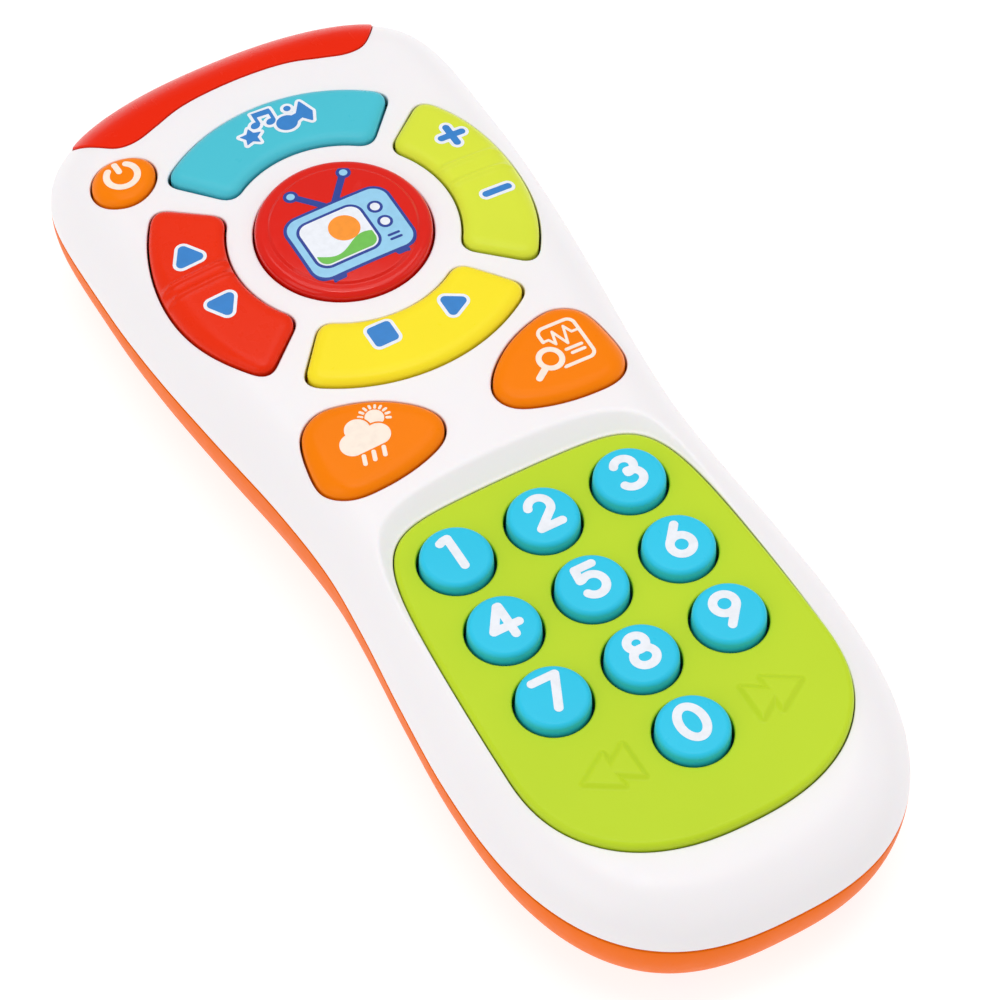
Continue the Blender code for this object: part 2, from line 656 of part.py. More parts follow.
# blocks and bosses inside the lower shell end at a skin just inside its back
verts = [np.column_stack([ring - ring_n * 0.4, np.full(N_BODY, Z_KEY)])]
for kk in range(STEPS + 1):
    a = math.pi / 2 * kk / STEPS
    zp = part_z(ring[:, 1]) - 0.15
    verts.append(np.column_stack([ring - ring_n * (0.4 + (R_BACK - 0.4) * (1 - math.cos(a))),
                                  zp - (zp - 0.4) * math.sin(a)]))
faces = [tuple(range(N_BODY))]
for kk in range(STEPS + 1):
    faces += ring_faces(kk * N_BODY, (kk + 1) * N_BODY, N_BODY)
faces.append(tuple(range((STEPS + 1) * N_BODY, (STEPS + 2) * N_BODY)))
skin = build("tool_skin", np.vstack(verts), faces, None, hide=True)


def inside_skin(tool):
    boolean(tool, skin, "INTERSECT")
    return tool


boolean(bottom_shell, inside_skin(tool_boxes("tool_bay_block", [
    (-DOOR_X - 1.6, DOOR_X + 1.6, DOOR_Y0 - 1.9, BAY_Y1 + 2.5, FLOOR - 0.7, BAY_TOP)])), "UNION")
boolean(bottom_shell, tool_boxes("tool_screw_ledge", [
    (-DOOR_X - 1.6, DOOR_X + 1.6, BAY_Y1 + 1.0, DOOR_Y1 + 1.9, FLOOR - 0.7, LEDGE + 2.2)]), "UNION")
boolean(bottom_shell, inside_skin(tool_posts("tool_low_bosses", [
    (x, y, [(3.5, 0.9), (3.5, Z_KEY - 11.2 - GAP)]) for x, y in CASE_SCREWS]
    + [(0.0, DOOR_SCREW_Y, [(3.0, 3.0), (3.0, 12.0)])])), "UNION")
boolean(bottom_shell, tool_boxes("tool_bay", [
    (-BAY_X, BAY_X, BAY_Y0, BAY_Y1, -3.0, BAY_TOP - 1.0)]), "DIFFERENCE")
boolean(bottom_shell, tool_boxes("tool_door", [
    (-DOOR_X - GAP, DOOR_X + GAP, DOOR_Y0 - GAP, DOOR_Y1 + GAP, -3.5, LEDGE)]), "DIFFERENCE")
SEAT = 7.0                     # height of the housing screws' seats
cuts = [(x, y, [(2.8, -3.0), (2.8, SEAT), (1.5, SEAT), (1.5, Z_KEY - 9)]) for x, y in CASE_SCREWS]
cuts.append((0.0, DOOR_SCREW_Y, [(1.25, 0.5), (1.25, 11.0)]))
boolean(bottom_shell, tool_posts("tool_low_cuts", cuts, 10), "DIFFERENCE")
grille = [(0.0, SPEAKER_Y)]
grille += [(4.2 * math.cos(math.radians(60 * i)), SPEAKER_Y + 4.2 * math.sin(math.radians(60 * i))) for i in range(6)]
grille += [(8.4 * math.cos(math.radians(30 * i)), SPEAKER_Y + 8.4 * math.sin(math.radians(30 * i))) for i in range(12)]
boolean(bottom_shell, tool_posts("tool_grille", [(x, y, [(1.1, -2.0), (1.1, 4.0)]) for x, y in grille], 6),
        "DIFFERENCE")

# ---- number-key plate and keys --------------------------------------------
KEYS = {str(3 * r + c + 1): ((c - 1) * KEY_PITCH_X, KEY5_Y + (1 - r) * KEY_PITCH_Y)
        for r in range(3) for c in range(3)}
KEYS["0"] = (0.0, KEY5_Y - 2 * KEY_PITCH_Y)
loop = plate_outline(N_PLATE)
inner = offset2(loop, -0.8)
key_holes = [circle(x, y, KEY_HOLE_R, 16) for x, y in KEYS.values()]
pxy, ptri = triangulate(inner, key_holes, [])
n_p = len(pxy)
rings = [np.column_stack([offset2(loop, -0.8 * (1 - math.sin(a))), np.full(N_PLATE, PLATE_Z - 0.8 * (1 - math.cos(a)))])
         for a in (math.pi / 4, math.pi / 2)]
low = np.column_stack([pxy, np.full(n_p, PLATE_Z - PLATE_T)])
low[:N_PLATE, :2] = loop
verts = np.vstack([np.column_stack([pxy, np.full(n_p, PLATE_Z)]), low] + rings)
faces = [tuple(t) for t in ptri] + [tuple(i + n_p for i in t[::-1]) for t in ptri]
faces += ring_faces(0, 2 * n_p, N_PLATE) + ring_faces(2 * n_p, 2 * n_p + N_PLATE, N_PLATE)
faces += ring_faces(2 * n_p + N_PLATE, n_p, N_PLATE)
start = N_PLATE
for h in key_holes:
    kk = len(h)
    faces += [(start + i, start + (i + 1) % kk, n_p + start + (i + 1) % kk, n_p + start + i) for i in range(kk)]
    start += kk
plate = build("keypad_plate", verts, faces, "lime")
boolean(plate, tool_posts("tool_plate_posts", [
    (x, y, [(2.2, BOARD_Z + BOARD_T + GAP), (2.2, PLATE_Z - 1.0)]) for x, y in BOARD_PLATE_SCREWS]), "UNION")
boolean(plate, tool_posts("tool_plate_pilots", [
    (x, y, [(1.2, BOARD_Z), (1.2, PLATE_Z - 1.8)]) for x, y in BOARD_PLATE_SCREWS], 10), "DIFFERENCE")

under_plate = PLATE_Z - PLATE_T - GAP
for label, (x, y) in KEYS.items():
    r = KEY_R
    turned("key_" + label, "blue", [
        (0, KEY_TOP), (r - 0.9, KEY_TOP), (r, KEY_TOP - 0.8), (r, under_plate),
        (6.3, under_plate), (6.3, under_plate - 0.9), (0, under_plate - 0.9)], 16,
        (x, y, 0))

# ---- ring, disc and side buttons ------------------------------------------
SKIRT_Z = Z_KEY - 4.3


def button_top(x, y):
    return base_z(x, y) + PROUD


for name, middle in ARCS.items():
    loop = sector(middle, ARC_IN, ARC_OUT, ARC_HALF, 2.6, arc_n)
    flange = sector(middle, ARC_IN - 1.0, ARC_OUT - 0.2, ARC_HALF + 3.0, 2.6, arc_n)
    pts = []
    for rr in (20.5, 24.5):
        for da in (-24, -8, 8, 24):
            a = math.radians(middle + da)
            pts.append((rr * math.cos(a), RING_Y + rr * math.sin(a)))
    a = math.radians(middle)
    centre = ((ARC_IN + ARC_OUT) / 2 * math.cos(a), RING_Y + (ARC_IN + ARC_OUT) / 2 * math.sin(a))
    pivot = (centre[0], centre[1], Z_KEY - 1.5 if "rocker" in name else 0.0)
    mat = {"volume_rocker": "lime2", "music_button": "teal", "channel_rocker": "red",
           "stop_play_rocker": "yellow"}[name]
    cap_piece(name, mat, loop, button_top, 0.8,
              [(loop, SKIRT_Z), (flange, SKIRT_Z), (flange, SKIRT_Z - 1.0)], pivot, pts)

turned("tv_button", "disc", [
    (0, DISC_Z + 0.35), (5.0, DISC_Z + 0.25), (10.4, DISC_Z - 0.1), (11.4, DISC_Z - 0.35), (12.6, DISC_Z - 0.6),
    (DISC_R, DISC_Z - 1.3), (DISC_R, SKIRT_Z), (DISC_R + 1.0, SKIRT_Z), (DISC_R + 1.0, SKIRT_Z - 1.0),
    (0, SKIRT_Z - 1.0)], 24, (0, RING_Y, 0))
for name, side in (("weather_button", -1), ("search_button", 1)):
    loop = side_button(side, 20)
    flange = offset2(loop, 0.75)
    pts = [(side * x, y) for x in (20.0, 15.5, 11.0) for y in (1.8, 6.2)]
    cap_piece(name, "button", loop, button_top, 0.8,
              [(loop, SKIRT_Z), (flange, SKIRT_Z), (flange, SKIRT_Z - 1.0)], (side * 14.5, 4.0, 0), pts)
loop = power_outline(14)
cap_piece("power_button", "button", loop, button_top, 0.8,
          [(loop, SKIRT_Z - 0.5), (offset2(loop, 0.3), SKIRT_Z - 0.5), (offset2(loop, 0.3), SKIRT_Z - 1.2)],
          (POWER_C[0], POWER_C[1], 0), [POWER_C])

# ---- rubber mats -----------------------------------------------------------
z0, z1 = MAT_Z, MAT_Z + MAT_T
studs = []
for middle in ARCS.values():
    for da in (-24, 24):
        a = math.radians(middle + da)
        studs.append((22.6 * math.cos(a), RING_Y + 22.6 * math.sin(a), 2.6, DOME_H))
studs.append((0.0, RING_Y, 3.6, DOME_H))
slab("ring_mat", "rubber", circle(0, RING_Y, 27.0, 32), [], z0, z1, bumps=studs)
slab("function_mat", "rubber", rounded([(-22, 3.6), (22, 3.6), (22, 9.2), (-22, 9.2)], [2.0] * 4, 28), [], z0, z1,
     bumps=[(-16.0, 6.4, 2.2, DOME_H), (16.0, 6.4, 2.2, DOME_H)])
slab("power_mat", "rubber", circle(*POWER_C, 4.2, 16), [], z0, z1, bumps=[(*POWER_C, 2.4, DOME_H)])
slab("keypad_mat", "rubber", rounded([
    (-20.3, -53.3), (-7.6, -53.3), (-7.6, -66.0), (7.6, -66.0), (7.6, -53.3), (20.3, -53.3), (20.3, -11.3),
    (-20.3, -11.3)], [3, 2, 3, 3, 2, 3, 3, 3], 60), [], z0, z1,
     bumps=[(x, y, 2.8, DOME_H) for x, y in KEYS.values()])

# ---- circuit board and what sits on it ------------------------------------
yy = np.linspace(-71.5, 74.5, 17)
right = np.stack([half_width(yy) - 5.2, yy], 1)
right[0, 0] -= 2.0
right[-1, 0] -= 2.0
loop = np.vstack([right, right[::-1] * np.array([-1, 1])])
bh = [circle(x, y, 2.9, 10) for x, y in CASE_SCREWS[:3]]
bh += [circle(x, y, 1.35, 8) for x, y in BOARD_SHELL_SCREWS + BOARD_PLATE_SCREWS]
slab("circuit_board", "board", loop, bh, BOARD_Z, BOARD_Z + BOARD_T)
turned("sound_chip", "chip", [(0, BOARD_Z - GAP), (4.6, BOARD_Z - GAP), (4.3, BOARD_Z - 0.9), (3.0, BOARD_Z - 1.5),
                              (0, BOARD_Z - 1.8)], 16, (0, 15.0, 0))
for name, x in (("led_left", -9.0), ("led_right", 9.0)):
    turned(name, "lamp", [(0, 0), (1.7, 0), (1.7, 0.8), (1.5, 0.8), (1.5, 3.2), (1.1, 4.2), (0, 4.6)], 12,
           (x, 75.6, Z_KEY - 8.2), axis="Y")

# ---- loudspeaker -----------------------------------------------------------
sz = FLOOR + GAP
turned("speaker_frame", "steel", [
    (12.2, sz), (SPEAKER_R, sz), (SPEAKER_R, sz + 1.4), (12.0, sz + 2.0), (9.0, sz + 5.6), (4.0, sz + 5.6),
    (4.0, sz + 5.0), (8.4, sz + 5.0), (11.2, sz + 1.6)], 20, (0, SPEAKER_Y, 0))
turned("speaker_cone", "cone", [
    (0, sz + 2.2), (3.2, sz + 2.6), (9.6, sz + 0.9), (10.8, sz + 0.9), (10.2, sz + 1.5), (7.6, sz + 3.6),
    (3.4, sz + 4.5), (0, sz + 4.5)], 16, (0, SPEAKER_Y, 0))
turned("speaker_magnet", "steel", [
    (0, sz + 5.9), (7.5, sz + 5.9), (7.5, sz + 9.4), (0, sz + 9.4)], 18, (0, SPEAKER_Y, 0))

# ---- batteries, contacts, cover -------------------------------------------
CELL_Z = BAY_TOP - 1.0 - 5.25 - 0.35
CELL = [(0, 0), (4.9, 0), (5.25, 0.35), (5.25, 42.9), (4.9, 43.3), (1.9, 43.3), (1.9, 44.5), (0, 44.5)]
turned("battery_1", "cell", CELL, 16, (-5.6, BAY_Y0 + 4.1, CELL_Z), axis="Y")
turned("battery_2", "cell", CELL, 16, (5.6, BAY_Y1 - 4.1, CELL_Z), axis="-Y")


def coil(x, y0, y1, turns=3, per=6, r0=3.6, r1=2.4):
    out = []
    for i in range(turns * per + 1):
        t = i / (turns * per)
        a = 2 * math.pi * i / per
        r = r0 + (r1 - r0) * t
        out.append((x + r * math.cos(a), y0 + (y1 - y0) * t, CELL_Z + r * math.sin(a)))
    return out


tube("battery_spring_1", "steel", coil(-5.6, BAY_Y0 + 0.7, BAY_Y0 + 3.4), 0.33)
tube("battery_spring_2", "steel", coil(5.6, BAY_Y1 - 0.7, BAY_Y1 - 3.4), 0.33)
for name, x, y0, y1 in (("battery_contact_1", -5.6, BAY_Y1 - 1.0, BAY_Y1 - 0.4),
                        ("battery_contact_2", 5.6, BAY_Y0 + 0.4, BAY_Y0 + 1.0)):
    v, f = box_mesh([(x - 4.4, x + 4.4, y0, y1, CELL_Z - 4.4, CELL_Z + 4.4)])
    build(name, v, f, "steel", (x, (y0 + y1) / 2, CELL_Z))

door = slab("battery_cover", "orange", rounded([
    (-DOOR_X, DOOR_Y0), (DOOR_X, DOOR_Y0), (DOOR_X, DOOR_Y1), (-DOOR_X, DOOR_Y1)], [0.6] * 4, 24),
    [], 0.0, LEDGE - GAP)
boolean(door, tool_posts("tool_door_seat", [
    (0.0, DOOR_SCREW_Y, [(2.9, -1.0), (2.9, 0.9), (1.3, 0.9), (1.3, 3.0)])], 12), "DIFFERENCE")
boolean(door, tool_boxes("tool_door_grip", [
    (-6.0, 6.0, DOOR_Y0 + 3.0 + 3.0 * i, DOOR_Y0 + 4.2 + 3.0 * i, -1.0, 0.5) for i in range(3)]), "DIFFERENCE")


def screw(name, x, y, seat, head_r, head_h, shank_r, length, n=8):
    """Pan-head screw driven upward; seat is the height under its head's top."""
    turned(name, "steel", [
        (0, seat - head_h), (head_r * 0.8, seat - head_h), (head_r, seat - head_h * 0.55), (head_r, seat),
        (shank_r, seat), (shank_r, seat + length - 1.0), (0, seat + length)], n, (x, y, 0))


screw("battery_cover_screw", 0.0, DOOR_SCREW_Y, 0.9 - 0.05, 2.5, 0.7, 0.95, 9.0)
for i, (x, y) in enumerate(CASE_SCREWS):
    screw("housing_screw_%d" % (i + 1), x, y, SEAT - 0.3, 2.5, 1.6, 0.95, 13.0)
for i, (x, y) in enumerate(BOARD_SHELL_SCREWS + BOARD_PLATE_SCREWS):
    screw("board_screw_%d" % (i + 1), x, y, BOARD_Z - 0.3, 2.2, 1.2, 0.85, 5.5)


# ---- wires -----------------------------------------------------------------
def smooth_path(ctrl, n):
    c = np.array(ctrl, float)
    s = np.arange(len(c), dtype=float)
    t = np.linspace(0, len(c) - 1, n)
    return np.stack([hermite(s, c[:, k], t) for k in range(3)], 1)


zb = BOARD_Z - 0.9
for name, mat, side in (("speaker_wire_red", "wire_red", -1), ("speaker_wire_black", "wire_black", 1)):
    tube(name, mat, smooth_path([(side * 13.6, SPEAKER_Y - 5, 5.6), (side * 14.6, SPEAKER_Y - 9, 8.5),
                                 (side * 13.0, SPEAKER_Y - 14, 12.0), (side * 10.0, SPEAKER_Y - 19, zb)], 9), 0.55)
for name, mat, side in (("battery_wire_red", "wire_red", -1), ("battery_wire_black", "wire_black", 1)):
    tube(name, mat, smooth_path([(side * 6.0, BAY_Y1 + 3.6, 9.0), (side * 6.6, BAY_Y1 + 5.5, 10.2),
                                 (side * 8.0, BAY_Y1 + 11, 12.4), (side * 9.0, BAY_Y1 + 18, zb)], 9), 0.55)
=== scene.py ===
"""Looks of the toy remote control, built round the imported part.

Lengths below are in millimetres in the part's own frame and become metres when
a mesh is made.  The outlines and heights repeat the part's design formulas, so
each finer piece lies where its plain counterpart lies.
"""
import math

import bmesh
import bpy
import numpy as np
from mathutils import Matrix, Vector
from mathutils.geometry import delaunay_2d_cdt


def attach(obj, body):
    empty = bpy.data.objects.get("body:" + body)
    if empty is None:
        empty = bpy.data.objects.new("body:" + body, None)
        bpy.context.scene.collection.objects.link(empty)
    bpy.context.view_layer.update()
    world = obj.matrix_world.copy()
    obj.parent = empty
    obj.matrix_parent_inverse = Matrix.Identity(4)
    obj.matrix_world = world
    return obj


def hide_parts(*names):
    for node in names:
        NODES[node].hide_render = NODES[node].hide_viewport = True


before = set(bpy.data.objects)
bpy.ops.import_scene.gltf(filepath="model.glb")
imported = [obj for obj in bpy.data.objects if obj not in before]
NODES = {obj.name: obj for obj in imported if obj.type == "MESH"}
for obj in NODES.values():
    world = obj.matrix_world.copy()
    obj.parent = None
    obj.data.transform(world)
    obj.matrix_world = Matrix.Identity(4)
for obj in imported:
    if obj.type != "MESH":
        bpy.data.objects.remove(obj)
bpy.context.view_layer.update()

MM = 0.001

# ---------------------------------------------------------------- design ----
LENGTH = 170.1
Y_HEAD, Y_TAIL = LENGTH / 2, -LENGTH / 2
Y_TAIL_ARC, Y_HEAD_ARC = -45.8, 50.7
WIDTH_AT = [-45.8, -31.8, -18.8, -7.8, 5.2, 21.2, 37.2, 50.7]
HALF_WIDTH = [30.95, 30.15, 28.95, 28.4, 29.25, 31.2, 32.8, 33.35]
TAIL_POWER = 2.6
HEAD_POWER_Y, HEAD_POWER_X = 5.3, 2.28
Z_KEY = 25.2
KEY_TOP = Z_KEY + 0.85
PART_HIGH, PART_DROP = 7.15, 2.84
R_FACE, R_BACK, WALL = 8.3, 11.5, 2.0
SPINE_Y = [-85.1, -74.8, -61.8, -31.8, -19.8, -7.8, 8.2, 26.2, 40.2, 56.2, 68.2, 76.2, 85.1]
SPINE_Z = [-3.4, -2.3, -1.6, -0.6, 0.2, 0.9, 1.5, 1.8, 1.7, 1.1, 0.4, -0.4, -1.8]
CROWN_Y = [-85.1, -31.8, -1.8, 28.2, 85.1]
CROWN_Z = [0.6, 0.6, 1.1, 1.4, 1.4]
RING_Y = 39.6
ARC_IN, ARC_OUT, ARC_HALF = 17.35, 28.3, 39.8
DISC_R = 12.95
PROUD = 1.0
DISC_Z = Z_KEY + 3.2
HOLE_GAP = 0.3
POWER_C = (-22.8, 65.2)
KEY_PITCH_X, KEY_PITCH_Y, KEY5_Y = 13.8, 13.29, -31.55
KEY_R, KEY_HOLE_R = 5.2, 5.6
PLATE_Z = Z_KEY - 0.9
PLATE_T = 3.2
RIM_Z = Z_KEY - 1.35
SKIRT_Z = Z_KEY - 4.3
DOOR_X, DOOR_Y0, DOOR_Y1 = 13.0, -68.8, -6.8
BAY_X, BAY_Y0, BAY_Y1 = 11.25, -65.8, -15.8
DOOR_SCREW_Y = -10.3
BOARD_Z = Z_KEY - 10.5
BAY_TOP = BOARD_Z - 0.3
LEDGE = 2.1
SEAT = 7.0
CASE_SCREWS = [(-14.5, 69.4), (14.5, 69.4), (0.0, -0.3), (-12.0, -77.4), (12.0, -77.4)]
SPEAKER_Y = 39.1
KEYS = {str(3 * r + c + 1): ((c - 1) * KEY_PITCH_X, KEY5_Y + (1 - r) * KEY_PITCH_Y)
        for r in range(3) for c in range(3)}
KEYS["0"] = (0.0, KEY5_Y - 2 * KEY_PITCH_Y)
ARCS = {"volume_rocker": 0, "music_button": 90, "channel_rocker": 180, "stop_play_rocker": 270}
SPANS = {"volume_rocker": (-0.7, 39.1), "music_button": (88.7, 40.6), "channel_rocker": (180, 39.6),
         "stop_play_rocker": (270, 39.8)}   # middle and half angle of each arc's face


def hermite(xs, ys, x):
    x = np.asarray(x, float)
    xs, ys = np.array(xs, float), np.array(ys, float)
    m = np.zeros(len(xs))
    m[1:-1] = (ys[2:] - ys[:-2]) / (xs[2:] - xs[:-2])
    i = np.clip(np.searchsorted(xs, x) - 1, 0, len(xs) - 2)
    h = xs[i + 1] - xs[i]
    t = np.clip((x - xs[i]) / h, 0, 1)
    return ((2 * t**3 - 3 * t**2 + 1) * ys[i] + (t**3 - 2 * t**2 + t) * h * m[i]
            + (-2 * t**3 + 3 * t**2) * ys[i + 1] + (t**3 - t**2) * h * m[i + 1])


def half_width(y):
    y = np.asarray(y, float)
    tail = np.clip((Y_TAIL_ARC - y) / (Y_TAIL_ARC - Y_TAIL), 0, 1)
    head = np.clip((y - Y_HEAD_ARC) / (Y_HEAD - Y_HEAD_ARC), 0, 1)
    w_tail = HALF_WIDTH[0] * (1 - tail**TAIL_POWER) ** (1 / TAIL_POWER)
    w_head = HALF_WIDTH[-1] * (1 - head**HEAD_POWER_Y) ** (1 / HEAD_POWER_X)
    return np.where(y < Y_TAIL_ARC, w_tail,
                    np.where(y > Y_HEAD_ARC, w_head, hermite(WIDTH_AT, HALF_WIDTH, y)))


def even(p, n, closed=True):
    """n points at even spacing along a line of points."""
    q = np.vstack([p, p[:1]]) if closed else np.asarray(p, float)
    run = np.r_[0, np.cumsum(np.linalg.norm(np.diff(q, axis=0), axis=1))]
    s = np.linspace(0, run[-1], n, endpoint=not closed)
    return np.stack([np.interp(s, run, q[:, 0]), np.interp(s, run, q[:, 1])], 1)


def mirrored(right):
    return np.vstack([right, right[1:-1][::-1] * np.array([-1, 1])])


def outline(n):
    a = np.linspace(0, math.pi, 8001)
    y = Y_TAIL + LENGTH * (1 - np.cos(a)) / 2
    return mirrored(even(np.stack([half_width(y), y], 1), n // 2 + 1, False))


def normals2(p):
    t = np.roll(p, -1, 0) - np.roll(p, 1, 0)
    t /= np.linalg.norm(t, axis=1)[:, None]
    return np.stack([t[:, 1], -t[:, 0]], 1)


def offset2(p, d):
    return p + normals2(p) * d


def part_z(y):
    return Z_KEY - (PART_HIGH + PART_DROP * (1 - np.exp(-((np.asarray(y, float) + 3.8) / 45) ** 2)))


def crown(x, y):
    return Z_KEY + hermite(SPINE_Y, SPINE_Z, y) - hermite(CROWN_Y, CROWN_Z, y) * (np.asarray(x) / 30.0) ** 2


def quarter(d, r):
    t = np.clip(1 - np.asarray(d) / r, 0, 1)
    return np.sqrt(1 - t**2)


def nearest(points, loop):
    """Distance to a closed outline and the nearest point on it."""
    p = np.atleast_2d(np.asarray(points, float))
    a, b = loop, np.roll(loop, -1, 0)
    d = b - a
    ll = (d**2).sum(1)
    dist, near = np.empty(len(p)), np.empty_like(p)
    for s in range(0, len(p), 1500):
        q = p[s:s + 1500, None, :] - a[None]
        t = np.clip((q * d).sum(2) / ll, 0, 1)
        e = q - t[..., None] * d
        dd = (e**2).sum(2)
        k = dd.argmin(1)
        i = np.arange(len(k))
        dist[s:s + 1500] = np.sqrt(dd[i, k])
        near[s:s + 1500] = a[k] + t[i, k][:, None] * d[k]
    return dist, near


def away(points, loop):
    return nearest(points, loop)[0]


def inside(points, loop):
    p = np.atleast_2d(points)
    x, y = p[:, 0], p[:, 1]
    hit = np.zeros(len(p), bool)
    a, b = loop, np.roll(loop, -1, 0)
    for (x0, y0), (x1, y1) in zip(a, b):
        if y0 != y1:
            hit ^= ((y0 > y) != (y1 > y)) & (x < (x1 - x0) * (y - y0) / (y1 - y0) + x0)
    return hit


BODY = outline(640)


def plate_outline(n, grow=0.0):
    top, bottom, wide, mid = -8.7, -73.3, 24.8, -52.0
    a = np.linspace(-math.pi / 2, math.pi / 2, 4001)
    low = np.stack([wide * np.cos(a[:2001]) ** (2 / 2.35),
                    mid + (mid - bottom) * -np.abs(np.sin(a[:2001])) ** (2 / 2.35)], 1)
    c, s = np.cos(a[2000:]), np.sin(a[2000:])
    high = np.stack([wide * c ** (2 / 7.0), mid + (top - mid) * s ** (2 / 7.0)], 1)
    high[:, 0] *= 1 - 0.085 * ((high[:, 1] - mid) / (top - mid)) ** 1.6
    high[:, 1] -= 0.9 * (np.abs(high[:, 0]) / 22.0) ** 2 * ((high[:, 1] - mid) / (top - mid)) ** 6
    right = even(np.vstack([low, high[1:]]), n // 2 + 1, False)
    right[0, 0] = right[-1, 0] = 0
    loop = mirrored(right)
    return offset2(loop, grow) if grow else loop


PLATE = plate_outline(320)


def base_z(x, y):
    """Upper face of the white shell, without the recess round the plate."""
    x, y = np.asarray(x, float), np.asarray(y, float)
    d = away(np.stack([x.ravel(), y.ravel()], 1), BODY).reshape(x.shape)
    zp = part_z(y)
    return zp + (crown(x, y) - zp) * quarter(d, R_FACE)


TABLE_X, TABLE_Y = np.arange(-34.0, 34.1, 0.5), np.arange(-86.0, 86.1, 0.5)
TABLE = away(np.stack([g.ravel() for g in np.meshgrid(TABLE_X, TABLE_Y, indexing="ij")], 1),
             BODY).reshape(len(TABLE_X), len(TABLE_Y))


def base_quick(x, y):
    """base_z away from the outline, its distances from a half-millimetre table."""
    x, y = np.asarray(x, float), np.asarray(y, float)
    u, v = (x + 34.0) / 0.5, (y + 86.0) / 0.5
    i = np.clip(u.astype(int), 0, len(TABLE_X) - 2)
    j = np.clip(v.astype(int), 0, len(TABLE_Y) - 2)
    u, v = u - i, v - j
    d = (TABLE[i, j] * (1 - u) * (1 - v) + TABLE[i + 1, j] * u * (1 - v)
         + TABLE[i, j + 1] * (1 - u) * v + TABLE[i + 1, j + 1] * u * v)
    zp = part_z(y)
    return zp + (crown(x, y) - zp) * quarter(d, R_FACE)


def face_z(x, y):
    """Upper face with the slope that runs down to the plate's edge."""
    z = base_z(x, y)
    p = np.stack([np.ravel(x), np.ravel(y)], 1)
    d = np.zeros(len(p))
    near_plate = (np.abs(p[:, 0]) < 34) & (p[:, 1] < 2)
    if near_plate.any():
        q = p[near_plate]
        d[near_plate] = away(q, PLATE) * np.where(inside(q, PLATE), 0.0, 1.0)
    d[~near_plate] = 50
    slope = (RIM_Z + 0.72 * np.maximum(d - 0.35, 0)).reshape(np.shape(z))
    k = 0.35
    h = np.clip(0.5 + 0.5 * (slope - z) / k, 0, 1)
    return slope + (z - slope) * h - k * h * (1 - h)


def back_z(x, y):
    """Outer face of the lower shell: round edge, flat back."""
    x, y = np.asarray(x, float), np.asarray(y, float)
    d = away(np.stack([x.ravel(), y.ravel()], 1), BODY).reshape(x.shape)
    return (part_z(y) - 0.15) * (1 - quarter(d, R_BACK))


def slope_of(f, x, y, e=0.04):
    gx = (f(x + e, y) - f(x - e, y)) / (2 * e)
    gy = (f(x, y + e) - f(x, y - e)) / (2 * e)
    return np.stack([gx, gy], 1)


def unit(v):
    v = np.asarray(v, float)
    return v / np.maximum(np.linalg.norm(v, axis=-1, keepdims=True), 1e-12)


def up_normal(grad, sign=1.0):
    return unit(np.column_stack([-sign * grad[:, 0], -sign * grad[:, 1], np.full(len(grad), sign)]))


def circle(cx, cy, r, n, phase=0.0):
    a = np.linspace(0, 2 * math.pi, n, endpoint=False) + phase
    return np.stack([cx + r * np.cos(a), cy + r * np.sin(a)], 1)


def rounded(corners, radii, n):
    c = np.array(corners, float)
    pts = []
    for i in range(len(c)):
        p, a, b = c[i], c[i - 1], c[(i + 1) % len(c)]
        u, v = (a - p) / np.linalg.norm(a - p), (b - p) / np.linalg.norm(b - p)
        half = math.acos(max(-1, min(1, float(u @ v)))) / 2
        r = radii[i]
        run = r / math.tan(half)
        centre = p + (u + v) / np.linalg.norm(u + v) * r / math.sin(half)
        s, e = p + u * run, p + v * run
        a0 = math.atan2(*(s - centre)[::-1])
        a1 = math.atan2(*(e - centre)[::-1])
        da = (a1 - a0 + math.pi) % (2 * math.pi) - math.pi
        for t in np.linspace(0, 1, 24):
            pts.append(centre + r * np.array([math.cos(a0 + da * t), math.sin(a0 + da * t)]))
    return even(np.array(pts), n)


def sector(middle, r0, r1, half, corner, n):
    a = np.radians(np.linspace(middle - half, middle + half, 121))
    out = np.stack([r1 * np.cos(a), RING_Y + r1 * np.sin(a)], 1)
    inn = np.stack([r0 * np.cos(a[::-1]), RING_Y + r0 * np.sin(a[::-1])], 1)
    loop = []
    for arc, r in ((out, r1), (inn, r0)):
        keep = int(round(120 * (1 - 2 * corner / (r * math.radians(2 * half))) / 2))
        loop.append(arc[60 - keep:61 + keep])
    pts = []
    for i, arc in enumerate(loop):
        nxt = loop[(i + 1) % 2]
        pts.extend(arc)
        e0, e1 = (out[-1], inn[0]) if i == 0 else (inn[-1], out[0])
        u = (e1 - e0) / np.linalg.norm(e1 - e0)
        a0, b0 = arc[-1], e0 + u * corner
        for t in np.linspace(0, 1, 14)[1:]:
            pts.append((1 - t) ** 2 * a0 + 2 * t * (1 - t) * e0 + t * t * b0)
        a1, b1 = e1 - u * corner, nxt[0]
        for t in np.linspace(0, 1, 14)[:-1]:
            pts.append((1 - t) ** 2 * a1 + 2 * t * (1 - t) * e1 + t * t * b1)
    return even(np.array(pts), n)


def through(points, n):
    c = np.array(points, float)
    out = []
    for i in range(len(c)):
        p0, p1, p2, p3 = c[i - 1], c[i], c[(i + 1) % len(c)], c[(i + 2) % len(c)]
        for t in np.linspace(0, 1, 24, endpoint=False):
            out.append(0.5 * (2 * p1 + (p2 - p0) * t + (2 * p0 - 5 * p1 + 4 * p2 - p3) * t * t
                              + (3 * p1 - p0 - 3 * p2 + p3) * t**3))
    return even(np.array(out), n)


